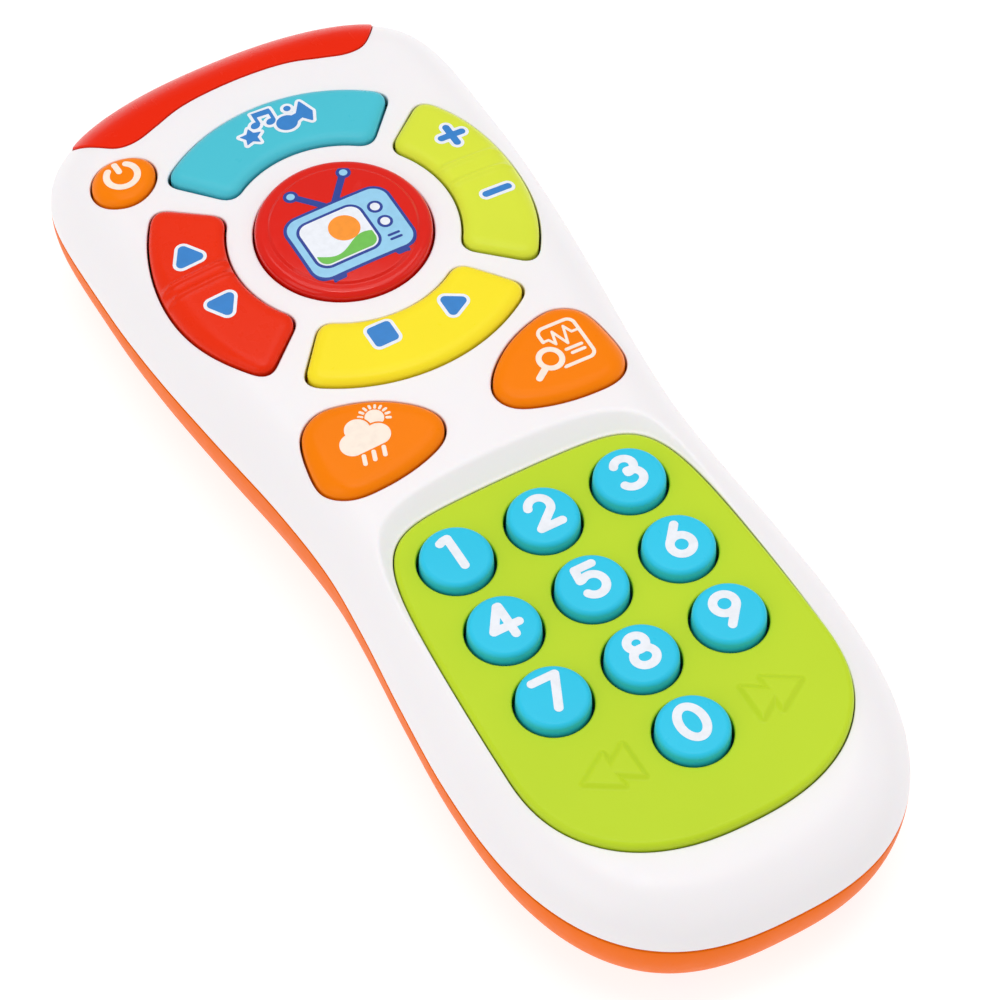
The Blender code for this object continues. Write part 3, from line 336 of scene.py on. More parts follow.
def side_button(side, n, grow=0.0):
    loop = through([(-16.5, -3.0), (-10.7, -2.2), (-6.0, -0.3), (-4.4, 2.7), (-5.9, 6.0), (-9.9, 9.4),
                    (-14.8, 11.6), (-19.2, 12.2), (-22.7, 10.0), (-24.2, 5.2), (-24.2, 0.6), (-21.4, -2.5)], n)
    if side > 0:
        loop = np.roll((loop * np.array([-1, 1]))[::-1], 1, 0)
    return offset2(loop, grow) if grow else loop


def power_outline(n, grow=0.0):
    a = np.linspace(0, 2 * math.pi, n, endpoint=False)
    x, y = 4.9 * np.cos(a), 4.4 * np.sin(a)
    y = y * (1 - 0.10 * x / 4.9)
    t = math.radians(14)
    loop = np.stack([POWER_C[0] + x * math.cos(t) - y * math.sin(t),
                     POWER_C[1] + x * math.sin(t) + y * math.cos(t)], 1)
    return offset2(loop, grow) if grow else loop


def window_outline(n):
    xs = [0.0, 6.0, 10.0, 14.0, 17.9, 21.0, 24.0, 26.0]
    ys = [75.1, 74.8, 74.1, 72.7, 71.6, 72.2, 75.3, 78.4]
    rear_x = np.linspace(0, 1, 160) * 26.0
    rear_y = hermite(xs, ys, rear_x)
    end = offset2(BODY, -1.6)
    end = end[(end[:, 0] >= 0) & (end[:, 1] > 60)]
    end = end[np.argsort(end[:, 0])]
    front = end[end[:, 0] < 25.8]
    right = even(np.vstack([np.stack([rear_x, rear_y], 1), front[::-1]]), n // 2 + 1, False)
    right[0, 0] = right[-1, 0] = 0
    loop = mirrored(right)
    tip = np.abs(loop[:, 0]) > 23.2
    for _ in range(14):                # the two pointed ends, softened
        mean = (np.roll(loop, 1, 0) + np.roll(loop, -1, 0)) / 2
        loop = np.where(tip[:, None], (loop + mean) / 2, loop)
    return loop


# ------------------------------------------------------------ mesh makers ---
def triangulate(outer, holes, pts):
    loops = [outer] + list(holes)
    v, e, start = [], [], 0
    for loop in loops:
        n = len(loop)
        v += [Vector((p[0], p[1])) for p in loop]
        e += [(start + i, start + (i + 1) % n) for i in range(n)]
        start += n
    v += [Vector((p[0], p[1])) for p in pts]
    _, _, fo, ov, _, _ = delaunay_2d_cdt(v, e, [], 0, 1e-7)
    back = [o[0] for o in ov]
    tri = np.array([[back[i] for i in f] for f in fo])
    xy = np.array([[p[0], p[1]] for p in v])
    mid = xy[tri].mean(1)
    keep = inside(mid, outer)
    for h in holes:
        keep &= ~inside(mid, h)
    return xy, tri[keep]


def hexgrid(x0, x1, y0, y1, s):
    ys = np.arange(y0, y1, s * 0.866)
    out = []
    for i, y in enumerate(ys):
        xs = np.arange(x0 + (s / 2 if i % 2 else 0), x1, s)
        out.append(np.stack([xs, np.full(len(xs), y)], 1))
    return np.vstack(out)


def clear(pts, outer, holes, gap):
    p = np.atleast_2d(pts)
    p = p[inside(p, outer)]
    p = p[away(p, outer) > gap]
    for h in holes:
        lo, hi = h.min(0) - gap - 0.1, h.max(0) + gap + 0.1
        close = ((p > lo) & (p < hi)).all(1)
        if close.any():
            q = p[close]
            bad = inside(q, h) | (away(q, h) <= gap)
            keep = np.ones(len(p), bool)
            keep[np.where(close)[0][bad]] = False
            p = p[keep]
    return p


def thin(groups, gap):
    """Points in order of rank, later ones dropped where they crowd earlier."""
    taken, out = {}, []
    for pts, g in groups:
        for p in pts:
            i, j = int(math.floor(p[0] / gap)), int(math.floor(p[1] / gap))
            ok = True
            for a in (i - 1, i, i + 1):
                for b in (j - 1, j, j + 1):
                    for q in taken.get((a, b), ()):
                        if (p[0] - q[0]) ** 2 + (p[1] - q[1]) ** 2 < g * g:
                            ok = False
                            break
                    if not ok:
                        break
                if not ok:
                    break
            if ok:
                taken.setdefault((i, j), []).append((p[0], p[1]))
                out.append((p[0], p[1]))
    return np.array(out)


class Form:
    """Collects points (mm), their normals where known, and faces."""

    def __init__(self):
        self.v, self.n, self.f, self.count = [], [], [], 0

    def add(self, pts, nrm=None):
        pts = np.asarray(pts, float)
        start = self.count
        self.v.append(pts)
        self.n.append(np.zeros_like(pts) if nrm is None else np.asarray(nrm, float))
        self.count += len(pts)
        return start

    def band(self, a, b, n):
        self.f += [(a + i, a + (i + 1) % n, b + (i + 1) % n, b + i) for i in range(n)]

    def tris(self, tri, index):
        self.f += [tuple(int(index[i]) for i in t) for t in tri]

    def cap(self, a, n):
        self.f.append(tuple(range(a, a + n)))

    def make(self, name, body, mats, smooth=32, node=None, face_mat=None):
        v = np.vstack(self.v) * MM
        me = bpy.data.meshes.new(name)
        me.from_pydata(v.tolist(), [], self.f)
        bm = bmesh.new()
        bm.from_mesh(me)
        bmesh.ops.recalc_face_normals(bm, faces=bm.faces[:])
        bm.to_mesh(me)
        bm.free()
        me.shade_smooth()
        me.set_sharp_from_angle(angle=math.radians(smooth))
        for m in mats if isinstance(mats, (list, tuple)) else [mats]:
            me.materials.append(m)
        if face_mat is not None:
            me.polygons.foreach_set("material_index", np.asarray(face_mat, np.int32))
        nn = np.vstack(self.n)
        if np.abs(nn).sum() > 0:
            me.normals_split_custom_set_from_vertices(nn.tolist())
        ob = bpy.data.objects.new(name, me)
        bpy.context.scene.collection.objects.link(ob)
        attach(ob, body)
        if node:
            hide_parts(*([node] if isinstance(node, str) else node))
        return ob


def around(loop, steps):
    return [offset2(loop, s) for s in steps]


# --------------------------------------------------------------- materials --
def srgb(c):
    return tuple(x / 12.92 if x <= 0.04045 else ((x + 0.055) / 1.055) ** 2.4 for x in (v / 255 for v in c))


def node(nt, kind, **kw):
    n = nt.nodes.new(kind)
    for k, v in kw.items():
        setattr(n, k, v)
    return n


def plastic(name, colour, rough=0.32, tint=0.035, grain=0.9, coat=0.0, sub=0.0, ior=1.5, wear=0.25, peel=0.012, spec=0.16):
    """Injection-moulded plastic: slow drift of tint from the moulding, a fine
    orange peel, faint handling scuffs in the gloss, and slightly worn edges."""
    m = bpy.data.materials.new(name)
    m.use_nodes = True
    nt = m.node_tree
    b = nt.nodes["Principled BSDF"]
    b.inputs["IOR"].default_value = ior
    b.inputs["Specular IOR Level"].default_value = spec
    b.inputs["Coat Weight"].default_value = coat
    b.inputs["Coat Roughness"].default_value = 0.12
    b.inputs["Subsurface Weight"].default_value = sub
    b.inputs["Subsurface Radius"].default_value = (1.0, 0.6, 0.4)
    b.inputs["Subsurface Scale"].default_value = 0.0012
    at = node(nt, "ShaderNodeTexCoord")
    drift = node(nt, "ShaderNodeTexNoise")
    drift.inputs["Scale"].default_value = 38.0
    drift.inputs["Detail"].default_value = 3.0
    fine = node(nt, "ShaderNodeTexNoise")
    fine.inputs["Scale"].default_value = 520.0 * grain
    fine.inputs["Detail"].default_value = 5.0
    pits = node(nt, "ShaderNodeTexNoise")
    pits.inputs["Scale"].default_value = 2100.0 * grain
    pits.inputs["Detail"].default_value = 3.0
    scuff_map = node(nt, "ShaderNodeMapping")
    scuff_map.inputs["Scale"].default_value = (340.0, 34.0, 120.0)
    scuff_map.inputs["Rotation"].default_value = (0.0, 0.0, 0.7)
    scuff = node(nt, "ShaderNodeTexNoise")
    scuff.inputs["Scale"].default_value = 4.0
    scuff.inputs["Detail"].default_value = 6.0
    for n in (drift, fine, pits):
        nt.links.new(at.outputs["Object"], n.inputs["Vector"])
    nt.links.new(at.outputs["Object"], scuff_map.inputs["Vector"])
    nt.links.new(scuff_map.outputs["Vector"], scuff.inputs["Vector"])
    c = np.array(srgb(colour))
    ramp = node(nt, "ShaderNodeValToRGB")
    ramp.color_ramp.elements[0].position, ramp.color_ramp.elements[1].position = 0.3, 0.72
    ramp.color_ramp.elements[0].color = (*np.clip(c * (1 - tint), 0, 1), 1)
    ramp.color_ramp.elements[1].color = (*np.clip(c * (1 + tint * 0.6) + tint * 0.01, 0, 1), 1)
    nt.links.new(drift.outputs["Fac"], ramp.inputs["Fac"])
    # worn, slightly paler edges
    geo = node(nt, "ShaderNodeNewGeometry")
    edge = node(nt, "ShaderNodeMapRange")
    edge.inputs["From Min"].default_value, edge.inputs["From Max"].default_value = 0.53, 0.62
    edge.inputs["To Min"].default_value, edge.inputs["To Max"].default_value = 0.0, wear
    nt.links.new(geo.outputs["Pointiness"], edge.inputs["Value"])
    spots = node(nt, "ShaderNodeMath", operation="MULTIPLY")
    nt.links.new(edge.outputs["Result"], spots.inputs[0])
    nt.links.new(fine.outputs["Fac"], spots.inputs[1])
    mix = node(nt, "ShaderNodeMix", data_type="RGBA", blend_type="MIX")
    pale = np.clip(c * 0.75 + 0.22, 0, 1)
    mix.inputs["B"].default_value = (*pale, 1)
    nt.links.new(spots.outputs[0], mix.inputs["Factor"])
    nt.links.new(ramp.outputs["Color"], mix.inputs["A"])
    nt.links.new(mix.outputs["Result"], b.inputs["Base Color"])
    # roughness: base, fine breakup, scuffs
    r1 = node(nt, "ShaderNodeMapRange")
    r1.inputs["From Min"].default_value, r1.inputs["From Max"].default_value = 0.25, 0.75
    r1.inputs["To Min"].default_value, r1.inputs["To Max"].default_value = rough - 0.05, rough + 0.05
    nt.links.new(fine.outputs["Fac"], r1.inputs["Value"])
    r2 = node(nt, "ShaderNodeMapRange")
    r2.inputs["From Min"].default_value, r2.inputs["From Max"].default_value = 0.58, 0.74
    r2.inputs["To Min"].default_value, r2.inputs["To Max"].default_value = 0.0, 0.06
    nt.links.new(scuff.outputs["Fac"], r2.inputs["Value"])
    add = node(nt, "ShaderNodeMath", operation="ADD")
    nt.links.new(r1.outputs["Result"], add.inputs[0])
    nt.links.new(r2.outputs["Result"], add.inputs[1])
    nt.links.new(add.outputs[0], b.inputs["Roughness"])
    # height: orange peel and texture of the mould
    h = node(nt, "ShaderNodeMath", operation="MULTIPLY_ADD")
    h.inputs[1].default_value = 0.35
    nt.links.new(pits.outputs["Fac"], h.inputs[0])
    nt.links.new(fine.outputs["Fac"], h.inputs[2])
    bump = node(nt, "ShaderNodeBump")
    bump.inputs["Strength"].default_value = 0.35
    bump.inputs["Distance"].default_value = peel * MM
    nt.links.new(h.outputs[0], bump.inputs["Height"])
    nt.links.new(bump.outputs["Normal"], b.inputs["Normal"])
    m.diffuse_color = (*c, 1)
    return m


def ink(name, colour, rough=0.42):
    """Pad-printed ink: faint uneven cover and a soft grain in the gloss."""
    m = bpy.data.materials.new(name)
    m.use_nodes = True
    nt = m.node_tree
    b = nt.nodes["Principled BSDF"]
    at = node(nt, "ShaderNodeTexCoord")
    n1 = node(nt, "ShaderNodeTexNoise")
    n1.inputs["Scale"].default_value = 900.0
    n1.inputs["Detail"].default_value = 4.0
    n2 = node(nt, "ShaderNodeTexVoronoi")
    n2.inputs["Scale"].default_value = 4200.0
    nt.links.new(at.outputs["Object"], n1.inputs["Vector"])
    nt.links.new(at.outputs["Object"], n2.inputs["Vector"])
    c = np.array(srgb(colour))
    ramp = node(nt, "ShaderNodeValToRGB")
    ramp.color_ramp.elements[0].position, ramp.color_ramp.elements[1].position = 0.3, 0.6
    ramp.color_ramp.elements[0].color = (*np.clip(c * 0.93, 0, 1), 1)
    ramp.color_ramp.elements[1].color = (*c, 1)
    nt.links.new(n1.outputs["Fac"], ramp.inputs["Fac"])
    nt.links.new(ramp.outputs["Color"], b.inputs["Base Color"])
    r = node(nt, "ShaderNodeMapRange")
    r.inputs["To Min"].default_value, r.inputs["To Max"].default_value = rough - 0.05, rough + 0.07
    nt.links.new(n1.outputs["Fac"], r.inputs["Value"])
    nt.links.new(r.outputs["Result"], b.inputs["Roughness"])
    bump = node(nt, "ShaderNodeBump")
    bump.inputs["Strength"].default_value = 0.3
    bump.inputs["Distance"].default_value = 0.006 * MM
    nt.links.new(n2.outputs["Distance"], bump.inputs["Height"])
    nt.links.new(bump.outputs["Normal"], b.inputs["Normal"])
    m.diffuse_color = (*c, 1)
    return m


def metal(name, colour=(196, 197, 202), rough=0.28, brushed=(30.0, 900.0, 900.0)):
    m = bpy.data.materials.new(name)
    m.use_nodes = True
    nt = m.node_tree
    b = nt.nodes["Principled BSDF"]
    b.inputs["Metallic"].default_value = 1.0
    at = node(nt, "ShaderNodeTexCoord")
    mp = node(nt, "ShaderNodeMapping")
    mp.inputs["Scale"].default_value = brushed
    n1 = node(nt, "ShaderNodeTexNoise")
    n1.inputs["Scale"].default_value = 3.0
    n1.inputs["Detail"].default_value = 6.0
    nt.links.new(at.outputs["Object"], mp.inputs["Vector"])
    nt.links.new(mp.outputs["Vector"], n1.inputs["Vector"])
    c = np.array(srgb(colour))
    ramp = node(nt, "ShaderNodeValToRGB")
    ramp.color_ramp.elements[0].position, ramp.color_ramp.elements[1].position = 0.3, 0.7
    ramp.color_ramp.elements[0].color = (*(c * 0.82), 1)
    ramp.color_ramp.elements[1].color = (*c, 1)
    nt.links.new(n1.outputs["Fac"], ramp.inputs["Fac"])
    nt.links.new(ramp.outputs["Color"], b.inputs["Base Color"])
    r = node(nt, "ShaderNodeMapRange")
    r.inputs["To Min"].default_value, r.inputs["To Max"].default_value = rough - 0.08, rough + 0.12
    nt.links.new(n1.outputs["Fac"], r.inputs["Value"])
    nt.links.new(r.outputs["Result"], b.inputs["Roughness"])
    bump = node(nt, "ShaderNodeBump")
    bump.inputs["Strength"].default_value = 0.25
    bump.inputs["Distance"].default_value = 0.01 * MM
    nt.links.new(n1.outputs["Fac"], bump.inputs["Height"])
    nt.links.new(bump.outputs["Normal"], b.inputs["Normal"])
    m.diffuse_color = (*c, 1)
    return m


def speckled(name, c0, c1, rough=0.6, scale=1200.0, bump_mm=0.02):
    """Matt material with a two-tone speckle: silicone, board, paper cone."""
    m = bpy.data.materials.new(name)
    m.use_nodes = True
    nt = m.node_tree
    b = nt.nodes["Principled BSDF"]
    at = node(nt, "ShaderNodeTexCoord")
    n1 = node(nt, "ShaderNodeTexNoise")
    n1.inputs["Scale"].default_value = scale
    n1.inputs["Detail"].default_value = 4.0
    nt.links.new(at.outputs["Object"], n1.inputs["Vector"])
    ramp = node(nt, "ShaderNodeValToRGB")
    ramp.color_ramp.elements[0].position, ramp.color_ramp.elements[1].position = 0.35, 0.65
    ramp.color_ramp.elements[0].color = (*srgb(c0), 1)
    ramp.color_ramp.elements[1].color = (*srgb(c1), 1)
    nt.links.new(n1.outputs["Fac"], ramp.inputs["Fac"])
    nt.links.new(ramp.outputs["Color"], b.inputs["Base Color"])
    r = node(nt, "ShaderNodeMapRange")
    r.inputs["To Min"].default_value, r.inputs["To Max"].default_value = rough - 0.08, rough + 0.1
    nt.links.new(n1.outputs["Fac"], r.inputs["Value"])
    nt.links.new(r.outputs["Result"], b.inputs["Roughness"])
    bump = node(nt, "ShaderNodeBump")
    bump.inputs["Strength"].default_value = 0.5
    bump.inputs["Distance"].default_value = bump_mm * MM
    nt.links.new(n1.outputs["Fac"], bump.inputs["Height"])
    nt.links.new(bump.outputs["Normal"], b.inputs["Normal"])
    m.diffuse_color = (*srgb(c0), 1)
    return m


WHITE = plastic("white_abs", (247, 243, 245), rough=0.34, tint=0.006, spec=0.4, sub=0.12, wear=0.0, peel=0.010)
ORANGE = plastic("orange_abs", (249, 114, 8), rough=0.42, tint=0.03, spec=0.06, sub=0.05, peel=0.016)
WINDOW = plastic("window_red", (238, 40, 8), rough=0.24, tint=0.03, spec=0.07, sub=0.0, wear=0.0, peel=0.004)
LIME_PLATE = plastic("lime_plate", (193, 220, 42), rough=0.34, tint=0.03, sub=0.05, wear=0.1, peel=0.016)
LIME = plastic("lime_rocker", (219, 230, 62), rough=0.34, tint=0.03, sub=0.05, wear=0.1, peel=0.014)
BLUE = plastic("key_blue", (50, 202, 236), rough=0.31, tint=0.03, sub=0.05, wear=0.12, peel=0.014)
RED = plastic("red_rocker", (236, 46, 4), rough=0.28, tint=0.03, sub=0.05, wear=0.1, peel=0.012)
DISC = plastic("disc_red", (224, 22, 0), rough=0.16, tint=0.03, spec=0.34, sub=0.05, wear=0.06, peel=0.008)
TEAL = plastic("teal_button", (76, 196, 214), rough=0.31, tint=0.03, sub=0.05, wear=0.1, peel=0.014)
YELLOW = plastic("yellow_rocker", (255, 232, 40), rough=0.31, tint=0.03, sub=0.05, wear=0.06, peel=0.014)
BUTTON = plastic("orange_button", (252, 130, 0), rough=0.31, tint=0.03, spec=0.10, sub=0.05, wear=0.08, peel=0.013)
INK_WHITE = ink("ink_white", (240, 243, 250))
INK_CREAM = ink("ink_cream", (255, 238, 222))
INK_BLUE = ink("ink_blue", (38, 128, 205))
INK_NAVY = ink("ink_navy", (20, 55, 150))
INK_SKY = ink("ink_sky", (150, 208, 240))
INK_ORANGE = ink("ink_orange", (255, 150, 20))
INK_GREEN = ink("ink_green", (110, 195, 75))
STEEL = metal("steel_plated")
SPRING = metal("spring_steel", (205, 205, 208), 0.2)
RUBBER = speckled("mat_silicone", (196, 196, 190), (210, 210, 204), 0.7, 900.0)
BOARD = speckled("board_mask", (22, 96, 52), (30, 116, 64), 0.42, 700.0, 0.01)
CHIP = speckled("chip_epoxy", (20, 20, 23), (34, 34, 37), 0.5, 2500.0)
CONE = speckled("cone_paper", (30, 30, 32), (52, 52, 55), 0.85, 2200.0, 0.05)
CELL = plastic("cell_sleeve", (40, 140, 70), rough=0.3, tint=0.05, wear=0.2)
WIRE_RED = plastic("wire_red", (200, 30, 30), rough=0.5, tint=0.04, wear=0.0)
WIRE_BLACK = plastic("wire_black", (26, 26, 28), rough=0.5, tint=0.06, wear=0.0)


def lamp_material():
    m = plastic("lamp_clear", (236, 236, 240), rough=0.08, tint=0.02, wear=0.0)
    b = m.node_tree.nodes["Principled BSDF"]
    b.inputs["Transmission Weight"].default_value = 0.8
    return m


LAMP = lamp_material()


def dress(name, mat):
    ob = NODES[name]
    if not ob.material_slots:
        ob.data.materials.append(mat)
    for s in ob.material_slots:
        s.material = mat


for names, mat in ((("ring_mat", "function_mat", "power_mat", "keypad_mat"), RUBBER),
                   (("circuit_board",), BOARD), (("sound_chip",), CHIP), (("led_left", "led_right"), LAMP),
                   (("speaker_frame", "speaker_magnet", "battery_contact_1", "battery_contact_2"), STEEL),
                   (("speaker_cone",), CONE), (("battery_1", "battery_2"), CELL),
                   (("battery_spring_1", "battery_spring_2"), SPRING),
                   (["board_screw_%d" % i for i in range(1, 6)], STEEL),
                   (("speaker_wire_red", "battery_wire_red"), WIRE_RED),
                   (("speaker_wire_black", "battery_wire_black"), WIRE_BLACK)):
    for nm in names:
        dress(nm, mat)


# ------------------------------------------------------------- upper shell --
N = 480
RING = outline(N)
RING_N = normals2(RING)
LIP = 0.25


def row_at(d):
    return RING - RING_N * d


def shoulder(angle):
    """One row of the rounded shoulder and its normals; angle from the side."""
    a = math.radians(angle)
    p = row_at(R_FACE * (1 - math.cos(a)))
    zp = part_z(p[:, 1])
    rise = crown(p[:, 0], p[:, 1]) - zp
    n = unit(np.column_stack([RING_N * (math.cos(a) / R_FACE), math.sin(a) / rise]))
    return np.column_stack([p, zp + rise * math.sin(a)]), n


def make_top_shell():
    f = Form()
    rows = []
    # inside wall, up from the rim
    inner = []
    for a in (10.0, 5.0, 1.5):
        t = math.radians(a)
        p = row_at(WALL + R_FACE * (1 - math.cos(t)))
        zp = part_z(p[:, 1])
        inner.append(np.column_stack([p, zp + (crown(p[:, 0], p[:, 1]) - WALL - zp) * math.sin(t)]))
    for q in inner:
        rows.append((q, None))
    z_rim = part_z(RING[:, 1]) + 0.15
    p = row_at(WALL)
    rows.append((np.column_stack([p, z_rim]), None))
    r = 0.22
    for k in range(0, 5):
        t = math.pi / 2 * k / 4
        p = row_at(r * (1 - math.sin(t)))
        n = np.column_stack([RING_N * math.sin(t), np.full(N, -math.cos(t))])
        rows.append((np.column_stack([p, z_rim + r * (1 - math.cos(t))]), n))
    last = None
    for a in (4.5, 7.5, 10.5, 14, 17.5, 21, 24.2, 27.0):
        last = shoulder(a)
        rows.append(last)
    starts = [f.add(q, n) for q, n in rows]
    for a, b in zip(starts, starts[1:]):
        f.band(a, b, N)
    outer = last[0][:, :2]
    # openings: outline, wall direction ("down" or "in")
    cuts = []
    for cad in ARCS:
        m, half = SPANS[cad]
        cuts.append((sector(m, ARC_IN - HOLE_GAP, ARC_OUT + HOLE_GAP, half + 0.8, 2.6, 170), "down"))
    cuts.append((circle(0, RING_Y, DISC_R + HOLE_GAP, 132), "down"))
    cuts.append((side_button(-1, 116, HOLE_GAP), "down"))
    cuts.append((side_button(1, 116, HOLE_GAP), "down"))
    cuts.append((power_outline(64, HOLE_GAP), "down"))
    cuts.append((plate_outline(300, 0.15), "down"))
    cuts.append((offset2(window_outline(230), 0.12), "in"))
    lips = [LIP] * 8 + [0.2, 0.1]
    tops = [offset2(c, r) for (c, _), r in zip(cuts, lips)]
    groups = []
    for a in (29.5, 32.5, 36, 40.5, 45, 50, 55, 60, 65, 70, 75, 80, 85, 90):
        groups.append((clear(row_at(R_FACE * (1 - math.cos(math.radians(a)))), outer, tops, 0.22), 0.20))
    for k, t in enumerate(tops):
        steps = (0.45, 1.0) if k != 8 else (0.35, 0.7, 1.05, 1.4, 1.75, 2.1, 2.45, 2.8, 3.15, 3.5, 3.9, 4.4)
        for s in steps:
            groups.append((clear(offset2(t, s), outer, tops, 0.28), 0.26))
    groups.append((clear(hexgrid(-33, 33, -84, 84, 1.5), outer, tops, 0.6), 0.75))
    pts = thin(groups, 0.8)
    xy, tri = triangulate(outer, tops, pts)
    z = face_z(xy[:, 0], xy[:, 1])
    nrm = up_normal(slope_of(face_z, xy[:, 0], xy[:, 1]))
    index = np.arange(len(xy))
    index[:N] = starts[-1] + np.arange(N)
    body = f.add(np.column_stack([xy[N:], z[N:]]), nrm[N:])
    index[N:] = body + np.arange(len(xy) - N)
    f.tris(tri, index)
    # rounded lips and walls of the openings
    first, lows = N, []
    for (cut, way), r, top in zip(cuts, lips, tops):
        n = len(cut)
        prev = int(index[first])
        out2 = normals2(cut)
        sn = nrm[first:first + n]
        for k in range(1, 5):
            t = math.pi / 2 * k / 4
            p = cut + out2 * (r * (1 - math.sin(t)))
            zz = face_z(p[:, 0], p[:, 1]) - r * (1 - math.cos(t))
            nn = unit(sn * math.cos(t) + np.column_stack([-out2, np.zeros(n)]) * math.sin(t))
            cur = f.add(np.column_stack([p, zz]), nn)
            f.band(prev, cur, n)
            prev = cur
            edge = np.column_stack([p, zz])
        if way == "down":
            low = edge - np.column_stack([np.zeros((n, 2)), np.full(n, WALL) / np.maximum(sn[:, 2], 0.75)])
            low[:, 2] += r
        else:
            bn = up_normal(slope_of(base_z, cut[:, 0], cut[:, 1]))
            low = edge - bn * (WALL - r)
        cur = f.add(low)
        f.band(prev, cur, n)
        lows.append((cur, low))
        first += n
    # underside
    u_outer = rows[0][0]
    loops = [low[:, :2] for _, low in lows]
    pts = clear(hexgrid(-30, 30, -80, 80, 4.5), u_outer[:, :2], loops, 1.6)
    uxy, utri = triangulate(u_outer[:, :2], loops, pts)
    total = N + sum(len(x) for x in loops)
    index = np.zeros(len(uxy), int)
    index[:N] = starts[0] + np.arange(N)
    k = N
    for cur, low in lows:
        index[k:k + len(low)] = cur + np.arange(len(low))
        k += len(low)
    q = uxy[total:]
    d = away(q, BODY)
    zp = part_z(q[:, 1])
    zz = zp + (crown(q[:, 0], q[:, 1]) - WALL - zp) * quarter(np.maximum(d - WALL, 0), R_FACE)
    zz = np.minimum(zz, face_z(q[:, 0], q[:, 1]) - WALL * 0.9)
    index[total:] = f.add(np.column_stack([q, zz])) + np.arange(len(q))
    f.tris(utri, index)
    return f.make("upper_shell", "housing", WHITE, node="top_shell")


make_top_shell()


# ----------------------------------------------------------- signal window --
def make_window():
    f = Form()
    loop = window_outline(230)
    r = 0.22
    inner = offset2(loop, -r)
    groups = []
    for a in (31.8, 36, 40.5, 45, 50, 55, 60, 65, 70, 75, 80, 85, 90):
        groups.append((clear(row_at(R_FACE * (1 - math.cos(math.radians(a)))), inner, [], 0.2), 0.2))
    for s in (0.4, 0.9):
        groups.append((clear(offset2(inner, -s), inner, [], 0.2), 0.25))
    groups.append((clear(hexgrid(-27, 27, 70, 85, 1.3), inner, [], 0.5), 0.6))
    xy, tri = triangulate(inner, [], thin(groups, 0.7))
    s3 = np.column_stack([xy, base_z(xy[:, 0], xy[:, 1])])
    bn = up_normal(slope_of(base_z, xy[:, 0], xy[:, 1]))
    top = f.add(s3 + bn * 0.25, bn)
    f.tris(tri, top + np.arange(len(xy)))
    n = len(inner)
    prev = top
    side = np.column_stack([normals2(loop), np.zeros(n)])
    for k in range(1, 5):
        t = math.pi / 2 * k / 4
        p = offset2(loop, -r * (1 - math.sin(t)))
        q = np.column_stack([p, base_z(p[:, 0], p[:, 1])])
        nn = up_normal(slope_of(base_z, p[:, 0], p[:, 1]))
        across = unit(side - nn * (side * nn).sum(1)[:, None])
        cur = f.add(q + nn * (0.25 - r * (1 - math.cos(t))), unit(nn * math.cos(t) + across * math.sin(t)))
        f.band(prev, cur, n)
        prev = cur
    low = f.add(q - nn * (WALL - 0.2))
    f.band(prev, low, n)
    under = s3 - bn * (WALL - 0.2)
    idx = f.add(under)
    f.band(low, idx, n)
    f.tris(tri, idx + np.arange(len(xy)))
    return f.make("signal_window", "housing", WINDOW, node="ir_window")


make_window()


# ------------------------------------------------------------- lower shell --
def polar_loop(loop, centre, n, start=0.0):
    """The outline resampled at even bearings from the centre."""
    c = np.array(centre)
    q = loop - c
    ang = np.unwrap(np.arctan2(q[:, 1], q[:, 0]))
    if ang[-1] < ang[0]:
        q, ang = q[::-1], ang[::-1]
    want = start + np.linspace(0, 2 * math.pi, n, endpoint=False)
    base = np.concatenate([ang - 2 * math.pi, ang, ang + 2 * math.pi])
    qx, qy = np.tile(q[:, 0], 3), np.tile(q[:, 1], 3)
    k = np.argsort(base)
    return np.stack([np.interp(want, base[k], qx[k]), np.interp(want, base[k], qy[k])], 1) + c


def rect(x0, x1, y0, y1, r, n=400):
    return rounded([(x0, y0), (x1, y0), (x1, y1), (x0, y1)], [r] * 4, n)


DOOR_MID = (0.0, (DOOR_Y0 + DOOR_Y1) / 2)
GRILLE = [(0.0, SPEAKER_Y)]
GRILLE += [(4.2 * math.cos(math.radians(60 * i)), SPEAKER_Y + 4.2 * math.sin(math.radians(60 * i))) for i in range(6)]
GRILLE += [(8.4 * math.cos(math.radians(30 * i)), SPEAKER_Y + 8.4 * math.sin(math.radians(30 * i))) for i in range(12)]


def seat_of(y):
    """Seat of a case screw; the tail ones sit deeper, under the curved edge."""
    return SEAT + (1.5 if y < -70 else 0.0)


